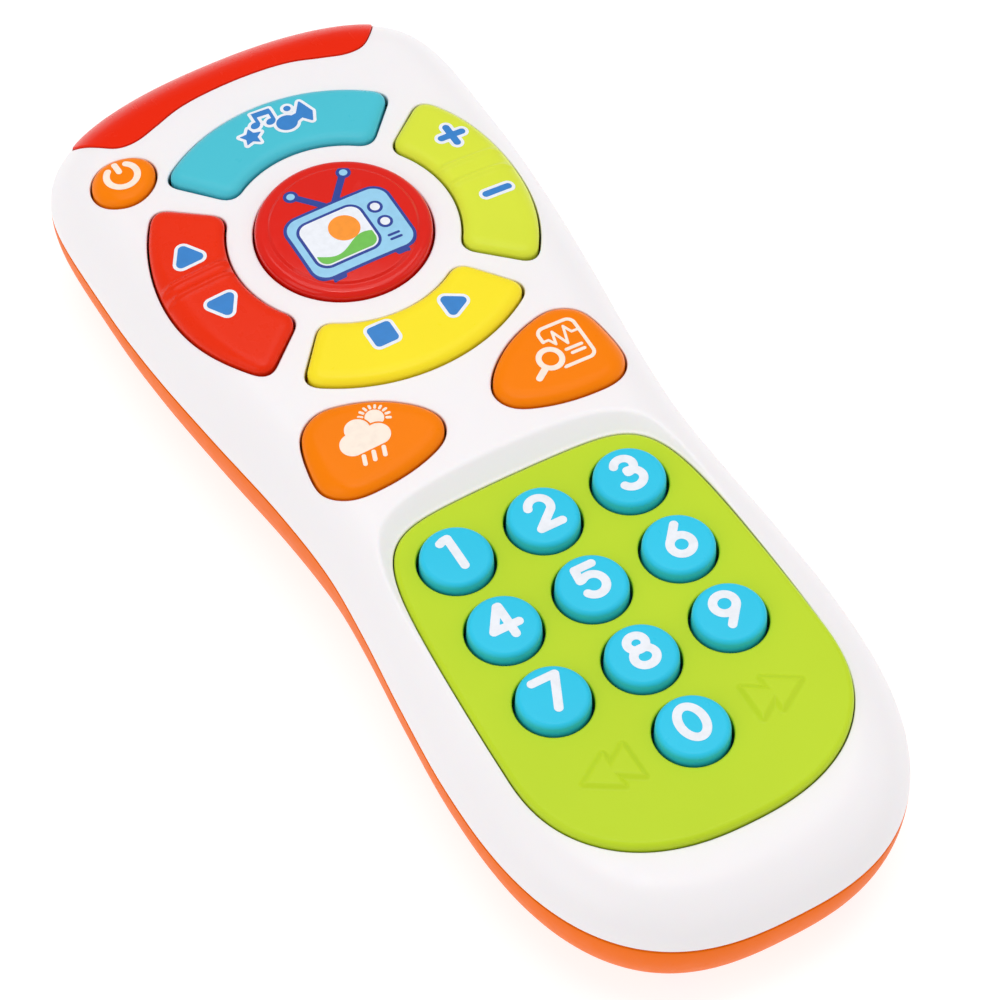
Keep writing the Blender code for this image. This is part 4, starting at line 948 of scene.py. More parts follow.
def make_bottom_shell():
    f = Form()
    rows = []

    def outer_row(angle):
        a = math.radians(angle)
        p = row_at(R_BACK * (1 - math.cos(a)))
        zp = part_z(RING[:, 1]) - 0.15
        rise = zp
        n = unit(np.column_stack([RING_N * (math.cos(a) / R_BACK), -math.sin(a) / rise]))
        return np.column_stack([p, zp * (1 - math.sin(a))]), n

    def inner_row(angle):
        a = math.radians(angle)
        p = row_at(WALL + (R_BACK - WALL) * (1 - math.cos(a)))
        zp = part_z(RING[:, 1]) - 0.15
        return np.column_stack([p, zp - (zp - WALL) * math.sin(a)])

    for a in (12, 4):
        rows.append((inner_row(a), None))
    z_rim = part_z(RING[:, 1]) - 0.15
    rows.append((np.column_stack([row_at(WALL), z_rim]), None))
    r = 0.22
    for k in range(0, 5):
        t = math.pi / 2 * k / 4
        p = row_at(r * (1 - math.sin(t)))
        n = np.column_stack([RING_N * math.sin(t), np.full(N, math.cos(t))])
        rows.append((np.column_stack([p, z_rim - r * (1 - math.cos(t))]), n))
    for a in (3.2, 6, 9, 12.5, 16, 20, 24, 28, 31.5):
        rows.append(outer_row(a))
    starts = [f.add(q, n) for q, n in rows]
    for a, b in zip(starts, starts[1:]):
        f.band(a, b, N)
    outer = rows[-1][0][:, :2]
    # back face with the door pocket, screw wells and sound holes
    door_n = 240
    door = polar_loop(rect(-DOOR_X - 0.3, DOOR_X + 0.3, DOOR_Y0 - 0.3, DOOR_Y1 + 0.3, 0.9), DOOR_MID, door_n)
    cuts = [(door, 0.25)]
    cuts += [(circle(x, y, 2.8, 40), 0.3) for x, y in CASE_SCREWS]
    cuts += [(circle(x, y, 1.1, 24), 0.25) for x, y in GRILLE]
    tops = [offset2(c, r_) for c, r_ in cuts]
    groups = []
    for a in (35, 38.5, 42, 46, 50, 54, 58, 62, 66, 70, 75, 80, 85, 90):
        groups.append((clear(row_at(R_BACK * (1 - math.cos(math.radians(a)))), outer, tops, 0.22), 0.25))
    for t in tops:
        groups.append((clear(offset2(t, 0.5), outer, tops, 0.3), 0.3))
    groups.append((clear(hexgrid(-32, 32, -84, 84, 2.2), outer, tops, 0.7), 1.0))
    xy, tri = triangulate(outer, tops, thin(groups, 0.9))

    def height(p):
        return back_z(p[:, 0], p[:, 1])

    z = height(xy)
    nrm = up_normal(slope_of(back_z, xy[:, 0], xy[:, 1]), 1.0) * -1
    index = np.arange(len(xy))
    index[:N] = starts[-1] + np.arange(N)
    index[N:] = f.add(np.column_stack([xy[N:], z[N:]]), nrm[N:]) + np.arange(len(xy) - N)
    f.tris(tri, index)
    first = N
    grille_low = []
    for k, ((cut, r_), top) in enumerate(zip(cuts, tops)):
        n = len(cut)
        prev = int(index[first])
        out2 = normals2(cut)
        sn = nrm[first:first + n]
        for j in range(1, 4):
            t = math.pi / 2 * j / 3
            p = cut + out2 * (r_ * (1 - math.sin(t)))
            zz = height(p) + r_ * (1 - math.cos(t))
            nn = unit(sn * math.cos(t) + np.column_stack([-out2, np.zeros(n)]) * math.sin(t))
            cur = f.add(np.column_stack([p, zz]), nn)
            f.band(prev, cur, n)
            prev = cur
        if k == 0:                      # pocket, ledge and bay
            bay = polar_loop(rect(-BAY_X, BAY_X, BAY_Y0, BAY_Y1, 0.8), DOOR_MID, door_n)
            for loop, level in ((door, LEDGE), (bay, LEDGE), (bay, BAY_TOP - 1.0)):
                cur = f.add(np.column_stack([loop, np.full(n, level)]))
                f.band(prev, cur, n)
                prev = cur
            f.cap(prev, n)
        elif k <= len(CASE_SCREWS):     # screw wells
            x, y = CASE_SCREWS[k - 1]
            deep = seat_of(y)
            for rad, level in ((2.8, deep), (1.5, deep), (1.5, deep + 1.4)):
                cur = f.add(np.column_stack([circle(x, y, rad, n), np.full(n, level)]))
                f.band(prev, cur, n)
                prev = cur
            f.cap(prev, n)
        else:
            cur = f.add(np.column_stack([cut, np.full(n, WALL)]))
            f.band(prev, cur, n)
            grille_low.append((cur, cut))
        first += n
    # floor inside, with the bay block standing on it and the bosses
    u_outer = rows[0][0][:, :2]
    block_n = 120
    block = polar_loop(rect(-DOOR_X - 1.6, DOOR_X + 1.6, DOOR_Y0 - 1.9, BAY_Y1 + 2.5, 0.8), DOOR_MID, block_n)
    bosses = [circle(x, y, 3.3, 32) for x, y in CASE_SCREWS]
    loops = [c for _, c in grille_low] + [block] + bosses
    pts = clear(hexgrid(-32, 32, -84, 84, 3.0), u_outer, loops, 1.0)

    def inner_z(p):
        zp = part_z(p[:, 1]) - 0.15
        d = away(p, BODY)
        return zp - (zp - WALL) * quarter(np.maximum(d - WALL, 0), R_BACK - WALL)

    uxy, utri = triangulate(u_outer, loops, pts)
    index = np.zeros(len(uxy), int)
    index[:N] = starts[0] + np.arange(N)
    k = N
    for cur, c in grille_low:
        index[k:k + len(c)] = cur + np.arange(len(c))
        k += len(c)
    for loop, level in [(block, BAY_TOP)] + [(b, Z_KEY - 11.5) for b in bosses]:
        a = f.add(np.column_stack([loop, inner_z(loop)]))
        index[k:k + len(loop)] = a + np.arange(len(loop))
        k += len(loop)
        b = f.add(np.column_stack([loop, np.full(len(loop), level)]))
        f.band(a, b, len(loop))
        f.cap(b, len(loop))
    index[k:] = f.add(np.column_stack([uxy[k:], inner_z(uxy[k:])])) + np.arange(len(uxy) - k)
    f.tris(utri, index)
    return f.make("lower_shell", "housing", ORANGE, node="bottom_shell")


make_bottom_shell()


def make_cover():
    """Battery cover: round edge, three finger grooves, screw seat."""
    f = Form()
    loop = rect(-DOOR_X, DOOR_X, DOOR_Y0, DOOR_Y1, 0.6, 280)
    r = 0.25
    inner = offset2(loop, -r)
    seat = circle(0, DOOR_SCREW_Y, 2.9, 48)
    seat_top = offset2(seat, 0.2)
    groups = []
    for i in range(3):
        y0 = DOOR_Y0 + 3.0 + 3.0 * i
        for dy in np.linspace(-0.35, 1.55, 14):
            groups.append((np.stack([np.linspace(-6.6, 6.6, 34), np.full(34, y0 + dy)], 1), 0.1))
        for dx in (-6.5, -6.35, -6.2, -6.05, -5.9, 5.9, 6.05, 6.2, 6.35, 6.5):
            groups.append((np.stack([np.full(12, dx), np.linspace(y0 - 0.3, y0 + 1.5, 12)], 1), 0.1))
    groups.append((clear(hexgrid(-12.4, 12.4, DOOR_Y0 + 0.6, DOOR_Y1 - 0.6, 1.8), inner, [seat_top], 0.6), 0.5))
    xy, tri = triangulate(inner, [seat_top], thin(groups, 0.5))

    def sink(x, y):
        z = np.zeros_like(x)
        for i in range(3):
            y0 = DOOR_Y0 + 3.6 + 3.0 * i
            q = np.hypot(np.maximum(np.abs(x) - 5.6, 0), y - y0)
            t = np.clip((0.75 - q) / 0.45, 0, 1)
            z = np.maximum(z, 0.5 * t * t * (3 - 2 * t))
        return z

    z = sink(xy[:, 0], xy[:, 1])
    nrm = up_normal(slope_of(sink, xy[:, 0], xy[:, 1], 0.02)) * -1
    a = f.add(np.column_stack([xy, z]), nrm)
    f.tris(tri, a + np.arange(len(xy)))
    n = len(loop)
    prev = a
    for k in range(1, 4):
        t = math.pi / 2 * k / 3
        p = offset2(loop, -r * (1 - math.sin(t)))
        cur = f.add(np.column_stack([p, np.full(n, r * (1 - math.cos(t)))]),
                    np.column_stack([normals2(loop) * math.sin(t), np.full(n, -math.cos(t))]))
        f.band(prev, cur, n)
        prev = cur
    cur = f.add(np.column_stack([loop, np.full(n, LEDGE - 0.3)]))
    f.band(prev, cur, n)
    top_outer = cur
    prev, m = a + n, 48
    out2 = normals2(seat)
    for k in range(1, 4):
        t = math.pi / 2 * k / 3
        cur = f.add(np.column_stack([seat + out2 * 0.2 * (1 - math.sin(t)), np.full(m, 0.2 * (1 - math.cos(t)))]),
                    np.column_stack([-out2 * math.sin(t), np.full(m, -math.cos(t))]))
        f.band(prev, cur, m)
        prev = cur
    for rad, level in ((2.9, 0.9), (1.3, 0.9), (1.3, LEDGE - 0.3)):
        cur = f.add(np.column_stack([circle(0, DOOR_SCREW_Y, rad, m), np.full(m, level)]))
        f.band(prev, cur, m)
        prev = cur
    hole = circle(0, DOOR_SCREW_Y, 1.3, m)
    bxy, btri = triangulate(loop, [hole], [])
    index = np.r_[top_outer + np.arange(n), prev + np.arange(m)]
    f.tris(btri, index)
    return f.make("door", "housing", ORANGE, node="battery_cover")


make_cover()


def make_screw(name, cad, x, y, seat, head_r, head_h, shank_r, length):
    """Pan-head screw seen from below, with a cross recess."""
    f = Form()
    n = 64
    low = seat - head_h
    arm, half = 1.15, 0.24
    c = []
    for q in range(4):
        t = math.pi / 2 * q
        ux, uy = math.cos(t), math.sin(t)
        for dx, dy in ((half, -half), (arm - 0.12, -half), (arm, -half + 0.12), (arm, half - 0.12), (arm - 0.12, half)):
            c.append((x + dx * ux - dy * uy, y + dx * uy + dy * ux))
    cross = even(np.array(c), 100)

    def dome(p):
        d = np.hypot(p[:, 0] - x, p[:, 1] - y)
        return low + head_h * 0.42 * (d / (head_r * 0.92)) ** 2.6

    rim = circle(x, y, head_r * 0.92, n)
    pts = np.vstack([circle(x, y, r_, k) for r_, k in ((2.05 * head_r / 2.5, 56), (1.75 * head_r / 2.5, 48), (1.45 * head_r / 2.5, 40))])
    pts = clear(pts, rim, [cross], 0.12)
    xy, tri = triangulate(rim, [cross], pts)
    nr = up_normal(slope_of(lambda a, b: dome(np.stack([a, b], 1)), xy[:, 0], xy[:, 1], 0.01)) * -1
    a = f.add(np.column_stack([xy, dome(xy)]), nr)
    f.tris(tri, a + np.arange(len(xy)))
    prev = a
    for r_, z in ((head_r, low + head_h * 0.62), (head_r, seat), (shank_r, seat), (shank_r, seat + length - 1.0),
                  (0.15, seat + length)):
        cur = f.add(np.column_stack([circle(x, y, r_, n), np.full(n, z)]))
        f.band(prev, cur, n)
        prev = cur
    f.cap(prev, n)
    m = len(cross)
    mid = np.array([x, y])
    floor = mid + (cross - mid) * 0.72
    b = f.add(np.column_stack([floor, np.full(m, low + min(head_h * 0.75, 0.95))]))
    f.band(a + n, b, m)
    f.cap(b, m)
    return f.make(name, "housing", STEEL, smooth=38, node=cad)


make_screw("cover_screw", "battery_cover_screw", 0.0, DOOR_SCREW_Y, 0.85, 2.5, 0.7, 0.95, 9.0)
for i, (x, y) in enumerate(CASE_SCREWS):
    make_screw("case_screw_%d" % (i + 1), "housing_screw_%d" % (i + 1), x, y, seat_of(y) - 0.3, 2.5, 1.6, 0.95,
               13.0 - (seat_of(y) - SEAT))


# ------------------------------------------------------- number-key plate ---
ARROW_Y = -58.2


def poly_sdf(x, y, pts, r=0.0):
    """Signed distance to a polygon, its corners rounded by r."""
    x, y = np.asarray(x, float), np.asarray(y, float)
    p = np.array(pts, float)
    if r:
        c = p.mean(0)
        inset = []
        m = len(p)
        area = 0.5 * sum(p[i][0] * p[(i + 1) % m][1] - p[(i + 1) % m][0] * p[i][1] for i in range(m))
        sgn = 1.0 if area > 0 else -1.0
        for i in range(m):
            a, b, d = p[i - 1], p[i], p[(i + 1) % m]
            u, v = (b - a) / np.linalg.norm(b - a), (d - b) / np.linalg.norm(d - b)
            n1, n2 = np.array([-u[1], u[0]]) * sgn, np.array([-v[1], v[0]]) * sgn
            k = n1 + n2
            inset.append(b + k * r / max(1 + float(n1 @ n2), 0.15))
        p = np.array(inset)
    d = np.full(x.shape, 1e9)
    s = np.ones(x.shape)
    for i in range(len(p)):
        (ax, ay), (bx, by) = p[i], p[i - 1]
        ex, ey = bx - ax, by - ay
        wx, wy = x - ax, y - ay
        t = np.clip((wx * ex + wy * ey) / (ex * ex + ey * ey), 0, 1)
        d = np.minimum(d, (wx - ex * t) ** 2 + (wy - ey * t) ** 2)
        c1, c2, c3 = y >= ay, y < by, ex * wy > ey * wx
        flip = (c1 & c2 & c3) | (~c1 & ~c2 & ~c3)
        s = np.where(flip, -s, s)
    return s * np.sqrt(d) - r


def arrows(x, y):
    d = np.full(np.shape(x), 1e9)
    for side in (-1, 1):
        for tip, edge in ((17.6, 12.0), (14.2, 8.9)):
            tri = [(side * tip, ARROW_Y), (side * edge, ARROW_Y + 3.5), (side * edge, ARROW_Y - 3.5)]
            d = np.minimum(d, poly_sdf(x, y, tri, 0.35))
    return d


def plate_top(x, y):
    t = np.clip((0.45 - arrows(x, y)) / 1.15, 0, 1)
    return PLATE_Z + 0.50 * t * t * (3 - 2 * t)


def make_plate():
    f = Form()
    n, r = 300, 0.9
    loop = plate_outline(n)
    inner = offset2(loop, -r)
    holes = [circle(x, y, KEY_HOLE_R, 72) for x, y in KEYS.values()]
    lip = 0.28
    tops = [circle(x, y, KEY_HOLE_R + lip, 72) for x, y in KEYS.values()]
    groups = []
    for side in (-1, 1):
        for x0, x1 in ((8.2, 18.1),):
            a, b = sorted((side * x0, side * x1))
            groups.append((clear(hexgrid(a, b, ARROW_Y - 4.3, ARROW_Y + 4.3, 0.2), inner, tops, 0.15), 0.1))
    groups.append((clear(hexgrid(-24, 24, -73, -9, 1.6), inner, tops, 0.5), 0.6))
    xy, tri = triangulate(inner, tops, thin(groups, 0.6))
    z = plate_top(xy[:, 0], xy[:, 1])
    a = f.add(np.column_stack([xy, z]), up_normal(slope_of(plate_top, xy[:, 0], xy[:, 1], 0.03)))
    f.tris(tri, a + np.arange(len(xy)))
    prev = a
    for k in range(1, 6):
        t = math.pi / 2 * k / 5
        cur = f.add(np.column_stack([offset2(loop, -r * (1 - math.sin(t))), np.full(n, PLATE_Z - r * (1 - math.cos(t)))]),
                    np.column_stack([normals2(loop) * math.sin(t), np.full(n, math.cos(t))]))
        f.band(prev, cur, n)
        prev = cur
    under = f.add(np.column_stack([loop, np.full(n, PLATE_Z - PLATE_T)]))
    f.band(prev, under, n)
    index = [under + np.arange(n)]
    first = a + n
    for h in holes:
        m = len(h)
        prev = first
        out2 = normals2(h)
        for k in range(1, 5):
            t = math.pi / 2 * k / 4
            cur = f.add(np.column_stack([h + out2 * lip * (1 - math.sin(t)), np.full(m, PLATE_Z - lip * (1 - math.cos(t)))]),
                        np.column_stack([-out2 * math.sin(t), np.full(m, math.cos(t))]))
            f.band(prev, cur, m)
            prev = cur
        cur = f.add(np.column_stack([h, np.full(m, PLATE_Z - PLATE_T)]))
        f.band(prev, cur, m)
        index.append(cur + np.arange(m))
        first += m
    _, utri = triangulate(loop, holes, [])
    f.tris(utri, np.concatenate(index))
    return f.make("number_plate", "housing", LIME_PLATE, node="keypad_plate")


make_plate()

UNDER_PLATE = PLATE_Z - PLATE_T - 0.3


def key_z(d):
    return KEY_TOP - 0.10 * (np.minimum(d, 4.3) / 4.3) ** 2


def make_key(label):
    x, y = KEYS[label]
    f = Form()
    n = 80
    prof = []
    for d in (0.8, 1.6, 2.4, 3.2, 3.8, 4.25):
        prof.append((d, float(key_z(d)), 0.2 * d / 18.5, 1.0))
    r = 0.88
    for k in range(1, 8):
        t = math.radians(84) * k / 7
        prof.append((4.25 + r * math.sin(t), float(key_z(4.25)) - r * (1 - math.cos(t)), math.sin(t), math.cos(t)))
    prof.append((5.2, PLATE_Z - 0.6, 1.0, 0.03))
    prof.append((5.2, UNDER_PLATE, 1.0, 0.0))
    c = f.add([(x, y, KEY_TOP)], [(0, 0, 1)])
    prev = None
    a = np.linspace(0, 2 * math.pi, n, endpoint=False)
    for rad, z, nr, nz in prof:
        cur = f.add(np.column_stack([circle(x, y, rad, n), np.full(n, z)]),
                    unit(np.column_stack([np.cos(a) * nr, np.sin(a) * nr, np.full(n, nz)])))
        if prev is None:
            f.f += [(c, cur + i, cur + (i + 1) % n) for i in range(n)]
        else:
            f.band(prev, cur, n)
        prev = cur
    for rad, z in ((6.3, UNDER_PLATE), (6.3, UNDER_PLATE - 0.9)):
        cur = f.add(np.column_stack([circle(x, y, rad, n), np.full(n, z)]))
        f.band(prev, cur, n)
        prev = cur
    f.cap(prev, n)
    name = "key_" + label
    f.make("cap_" + label, name, BLUE, node=name)


for label in KEYS:
    make_key(label)


# ----------------------------------------------------- buttons of the face --
def button_form(name, body, cad, mat, loop, base, rw, rh, ridges=(), flange=None, z_low=None, low_drop=0.0, fine=0.55):
    """A pressed-dome button: height over its plan from a smooth crown, an
    elliptical shoulder of plan width rw and drop rh, ridges across, a wall."""
    f = Form()
    n = len(loop)

    def ridge(x, y, d):
        z = np.zeros(np.shape(x))
        for axis, at, tall, s in ridges:
            q = (y if axis == "y" else x) - at
            z = z + tall * np.exp(-(q / s) ** 2)
        t = np.clip((d - 0.9) / 1.4, 0, 1)
        return z * t * t * (3 - 2 * t)

    def height(x, y):
        p = np.stack([np.ravel(x), np.ravel(y)], 1)
        d = away(p, loop).reshape(np.shape(x))
        t = np.clip(1 - d / rw, 0, 1)
        return base(x, y) - rh * (1 - np.sqrt(1 - t * t)) + ridge(x, y, d)

    groups = []
    for a in (14, 22, 30, 38, 46, 54, 62):
        d = rw * (1 - math.cos(math.radians(a)))
        q = offset2(loop, -d)
        ok = np.abs(away(q, loop) - d) < 0.02 + d * 0.03
        q = q[ok]
        groups.append((q[inside(q, loop)], 0.02 if a < 30 else 0.08))
    for axis, at, tall, s in ridges:
        lo, hi = loop.min(0), loop.max(0)
        for k in np.linspace(-2.6, 2.6, 15):
            if axis == "y":
                q = np.stack([np.arange(lo[0], hi[0], 0.4), np.full(len(np.arange(lo[0], hi[0], 0.4)), at + k * s)], 1)
            else:
                q = np.stack([np.full(len(np.arange(lo[1], hi[1], 0.4)), at + k * s), np.arange(lo[1], hi[1], 0.4)], 1)
            groups.append((clear(q, loop, [], rw * 0.5), 0.1))
    lo, hi = loop.min(0), loop.max(0)
    groups.append((clear(hexgrid(lo[0], hi[0], lo[1], hi[1], fine), loop, [], rw * 0.48), fine * 0.42))
    xy, tri = triangulate(loop, [], thin(groups, 0.6))
    z = height(xy[:, 0], xy[:, 1])
    # normals: gradient of the crown plus that of the shoulder
    d, near = nearest(xy, loop)
    g = unit(xy - near)
    t = np.clip(1 - d / rw, 0, 0.9999)
    steep = rh * t / np.sqrt(1 - t * t) / rw
    e = 0.03
    flat = lambda x_, y_: base(x_, y_) + ridge(x_, y_, np.interp(0, [0, 1], [9, 9]) * np.ones(np.shape(x_)))
    grad = slope_of(flat, xy[:, 0], xy[:, 1], e) + g * steep[:, None]
    nrm = up_normal(grad)
    nrm[:n] = np.column_stack([normals2(loop), np.zeros(n)])
    a = f.add(np.column_stack([xy, z]), nrm)
    f.tris(tri, a + np.arange(len(xy)))
    prev = a
    low = SKIRT_Z - low_drop
    wide = flange if flange is not None else offset2(loop, 0.75)
    side = np.column_stack([normals2(loop), np.zeros(n)])
    cur = f.add(np.column_stack([loop, np.minimum(z[:n] - 1.0, z[:n])]), side)
    f.band(prev, cur, n)
    prev = cur
    for p, zl in ((loop, low), (wide, low), (wide, low - 1.0 + low_drop * 0.6)):
        cur = f.add(np.column_stack([p, np.full(n, zl)]))
        f.band(prev, cur, n)
        prev = cur
    f.cap(prev, n)
    ob = f.make(name, body, mat, node=cad)
    return height


def crown_button(x, y):
    return base_quick(x, y) + PROUD + 0.12


TOPS = {}
SPEC = {"volume_rocker": ("cap_volume", LIME, "lime_rocker", (("y", 42.6, 0.30, 0.50), ("y", 39.2, 0.30, 0.50))),
        "music_button": ("cap_music", TEAL, "teal_button", ()),
        "channel_rocker": ("cap_channel", RED, "red_rocker", (("y", 42.8, 0.40, 0.50), ("y", 40.6, 0.40, 0.50))),
        "stop_play_rocker": ("cap_stop_play", YELLOW, "yellow_rocker", ())}
for cad in ARCS:
    nm, mat, slot_name, ridges = SPEC[cad]
    middle, half = SPANS[cad]
    loop = sector(middle, ARC_IN, ARC_OUT, half, 2.6, 180)
    flange = sector(middle, ARC_IN - 1.0, ARC_OUT - 0.2, half + 3.0, 2.6, 180)
    TOPS[cad] = button_form(nm, cad, cad, mat, loop, crown_button, 1.9, 1.15, ridges, flange)
for cad, side in (("weather_button", -1), ("search_button", 1)):
    loop = side_button(side, 150)
    TOPS[cad] = button_form("cap_" + cad.split("_")[0], cad, cad, BUTTON, loop, crown_button, 2.3, 1.3)
loop = power_outline(110)
TOPS["power_button"] = button_form("cap_power", "power_button", "power_button", BUTTON, loop,
                                   crown_button, 1.9, 1.2, flange=offset2(loop, 0.3), low_drop=0.6, fine=0.4)


def disc_z(d):
    """Height of the centre disc: shallow crown, a step, a rounded rim."""
    d = np.asarray(d, float)
    top = DISC_Z + 0.38 - 0.34 * (d / 10.6) ** 2
    t = np.clip((d - 10.55) / 0.55, 0, 1)
    step = 0.34 * t * t * (3 - 2 * t)
    u = np.clip((d - 11.75) / (DISC_R - 11.75), 0, 1)
    rim = 1.1 * (1 - np.sqrt(1 - u * u))
    return np.where(d < 10.6, top, DISC_Z + 0.04 - 0.04 * (d - 10.6)) - step - rim


def make_disc():
    f = Form()
    n = 132
    rows = list(np.linspace(1.0, 10.0, 10)) + list(np.linspace(10.4, 11.3, 13)) + [11.5, 11.75]
    rows += list(11.75 + (DISC_R - 11.75) * np.sin(np.linspace(0.1, math.pi / 2, 11)))
    a = np.linspace(0, 2 * math.pi, n, endpoint=False)
    c = f.add([(0, RING_Y, float(disc_z(0)))], [(0, 0, 1)])
    prev = None
    for d in rows:
        e = 0.01
        s = (float(disc_z(min(d + e, DISC_R))) - float(disc_z(d - e))) / (2 * e)
        nr, nz = (1.0, 0.0) if d >= DISC_R - 1e-6 else (-s, 1.0)
        cur = f.add(np.column_stack([circle(0, RING_Y, d, n), np.full(n, float(disc_z(d)))]),
                    unit(np.column_stack([np.cos(a) * nr, np.sin(a) * nr, np.full(n, nz)])))
        if prev is None:
            f.f += [(c, cur + i, cur + (i + 1) % n) for i in range(n)]
        else:
            f.band(prev, cur, n)
        prev = cur
    for rad, z in ((DISC_R, SKIRT_Z), (DISC_R + 1.0, SKIRT_Z), (DISC_R + 1.0, SKIRT_Z - 1.0)):
        cur = f.add(np.column_stack([circle(0, RING_Y, rad, n), np.full(n, z)]))
        f.band(prev, cur, n)
        prev = cur
    f.cap(prev, n)
    f.make("cap_tv", "tv_button", DISC, node="tv_button")


make_disc()


# ------------------------------------------------------------ printed marks -
def seg(x, y, a, b):
    ex, ey = b[0] - a[0], b[1] - a[1]
    wx, wy = x - a[0], y - a[1]
    t = np.clip((wx * ex + wy * ey) / max(ex * ex + ey * ey, 1e-9), 0, 1)
    return np.hypot(wx - ex * t, wy - ey * t)


def stroke(pts, r):
    def f(x, y):
        d = np.full(np.shape(x), 1e9)
        for a, b in zip(pts, pts[1:]):
            d = np.minimum(d, seg(x, y, a, b))
        return d - r
    return f


def arc_pts(cx, cy, rx, ry, a0, a1, n=40):
    t = np.radians(np.linspace(a0, a1, n))
    return [(cx + rx * math.cos(q), cy + ry * math.sin(q)) for q in t]


def blob(cx, cy, rx, ry=None, turn=0.0):
    ry = ry or rx
    c, s = math.cos(math.radians(turn)), math.sin(math.radians(turn))

    def f(x, y):
        u, v = (x - cx) * c + (y - cy) * s, -(x - cx) * s + (y - cy) * c
        k = np.hypot(u / rx, v / ry)
        g = np.hypot(u / rx**2, v / ry**2)
        return np.where(g < 1e-9, -min(rx, ry), k * (k - 1) / np.maximum(g, 1e-9))
    return f


def polygon(pts, r=0.0):
    return lambda x, y: poly_sdf(x, y, pts, r)


def panel(cx, cy, hx, hy, r):
    def f(x, y):
        qx, qy = np.abs(x - cx) - hx + r, np.abs(y - cy) - hy + r
        return np.hypot(np.maximum(qx, 0), np.maximum(qy, 0)) + np.minimum(np.maximum(qx, qy), 0) - r
    return f


def either(*fs):
    return lambda x, y: np.minimum.reduce([g(x, y) for g in fs])


def both(*fs):
    return lambda x, y: np.maximum.reduce([g(x, y) for g in fs])


def minus(a, b, gap=0.0):
    return lambda x, y: np.maximum(a(x, y), gap - b(x, y))


def grown(a, r):
    return lambda x, y: a(x, y) - r


def shifted(a, dx, dy):
    return lambda x, y: a(x - dx, y - dy)


def mark(name, body, mat, shape, box, surface, lift, step=0.1):
    """A thin printed mark: the filled shape laid on the surface it is on."""
    x0, x1, y0, y1 = box
    xs, ys = np.arange(x0, x1 + step, step), np.arange(y0, y1 + step, step)
    X, Y = np.meshgrid(xs, ys, indexing="ij")
    S = shape(X, Y)
    S = np.where(np.abs(S) < step * 0.02, -step * 0.02, S)
    ins = S < 0
    verts, ids = [], {}

    def corner(i, j):
        k = (i, j)
        if k not in ids:
            ids[k] = len(verts)
            verts.append((xs[i], ys[j]))
        return ids[k]

    def cross(i, j, p, q):
        k = (min((i, j), (p, q)), max((i, j), (p, q)), 1)
        if k not in ids:
            s0, s1 = S[i, j], S[p, q]
            t = s0 / (s0 - s1)
            ids[k] = len(verts)
            verts.append((xs[i] + (xs[p] - xs[i]) * t, ys[j] + (ys[q] - ys[j]) * t))
        return ids[k]

    faces = []
    some = ins[:-1, :-1] | ins[1:, :-1] | ins[:-1, 1:] | ins[1:, 1:]
    for i, j in zip(*np.nonzero(some)):
        cs = ((i, j), (i + 1, j), (i + 1, j + 1), (i, j + 1))
        f = []
        for k in range(4):
            a, b = cs[k], cs[(k + 1) % 4]
            if ins[a]:
                f.append(corner(*a))
            if ins[a] != ins[b]:
                f.append(cross(*a, *b))
        if len(f) > 2:
            faces.append(f)
    p = np.array(verts)
    z = surface(p[:, 0], p[:, 1])
    edges = {}
    for f in faces:
        for a, b in zip(f, f[1:] + f[:1]):
            edges[(a, b)] = edges.get((a, b), 0) + 1
    form = Form()
    n = len(p)
    nrm = up_normal(slope_of(surface, p[:, 0], p[:, 1], 0.03))
    form.add(np.column_stack([p, z + lift]), nrm)
    form.add(np.column_stack([p, z - 0.04]))
    form.f = [tuple(f) for f in faces] + [tuple(i + n for i in f[::-1]) for f in faces]
    for a, b in edges:
        if (b, a) not in edges:
            form.f.append((b, a, a + n, b + n))
    return form.make(name, body, mat)


def digit_shape(label):
    r = 0.64
    A = arc_pts
    if label == "0":
        return stroke(A(0, 0, 1.78, 2.6, 0, 360, 60), r)
    if label == "1":
        return stroke([(-1.2, 2.2), (-0.55, 2.48), (0.1, 2.55), (0.1, -2.55)], r)
    if label == "2":
        return stroke(A(0.02, 0.93, 1.6, 1.62, 165, -38, 30) + [(-1.55, -2.5), (1.75, -2.5)], r)
    if label == "3":
        return either(stroke(A(-0.05, 1.27, 1.42, 1.3, 158, -90, 30), r),
                      stroke(A(-0.05, -1.12, 1.66, 1.45, 90, -155, 34), r))
    if label == "4":
        return either(stroke([(0.55, 2.5), (0.55, -2.55)], r), stroke([(0.35, 2.5), (-2.0, -1.0), (1.9, -1.0)], r))
    if label == "5":
        return stroke([(1.45, 2.5), (-1.2, 2.5), (-1.4, 0.55)] + A(-0.02, -0.78, 1.72, 1.72, 128, -148, 34), r)
    if label == "6":
        return either(stroke(A(0.05, -0.95, 1.62, 1.6, 0, 360, 48), r), stroke([(0.85, 2.5), (-1.32, -0.1)], r))
    if label == "7":
        return stroke([(-1.8, 2.5), (1.75, 2.5), (-0.5, -2.55)], r)
    if label == "8":
        return either(stroke(A(0, 1.33, 1.3, 1.22, 0, 360, 44), r), stroke(A(0, -1.15, 1.6, 1.42, 0, 360, 48), r))
    return either(stroke(A(-0.05, 0.95, 1.62, 1.6, 0, 360, 48), r), stroke([(-0.85, -2.5), (1.32, 0.1)], r))


for label, (kx, ky) in KEYS.items():
    sx, sy = kx + 0.08, ky + 0.45
    mark("digit_" + label, "key_" + label, INK_WHITE, shifted(digit_shape(label), sx, sy),
         (sx - 3, sx + 3, sy - 3.6, sy + 3.6),
         lambda x, y, kx=kx, ky=ky: key_z(np.hypot(x - kx, y - ky)), 0.05, 0.12)


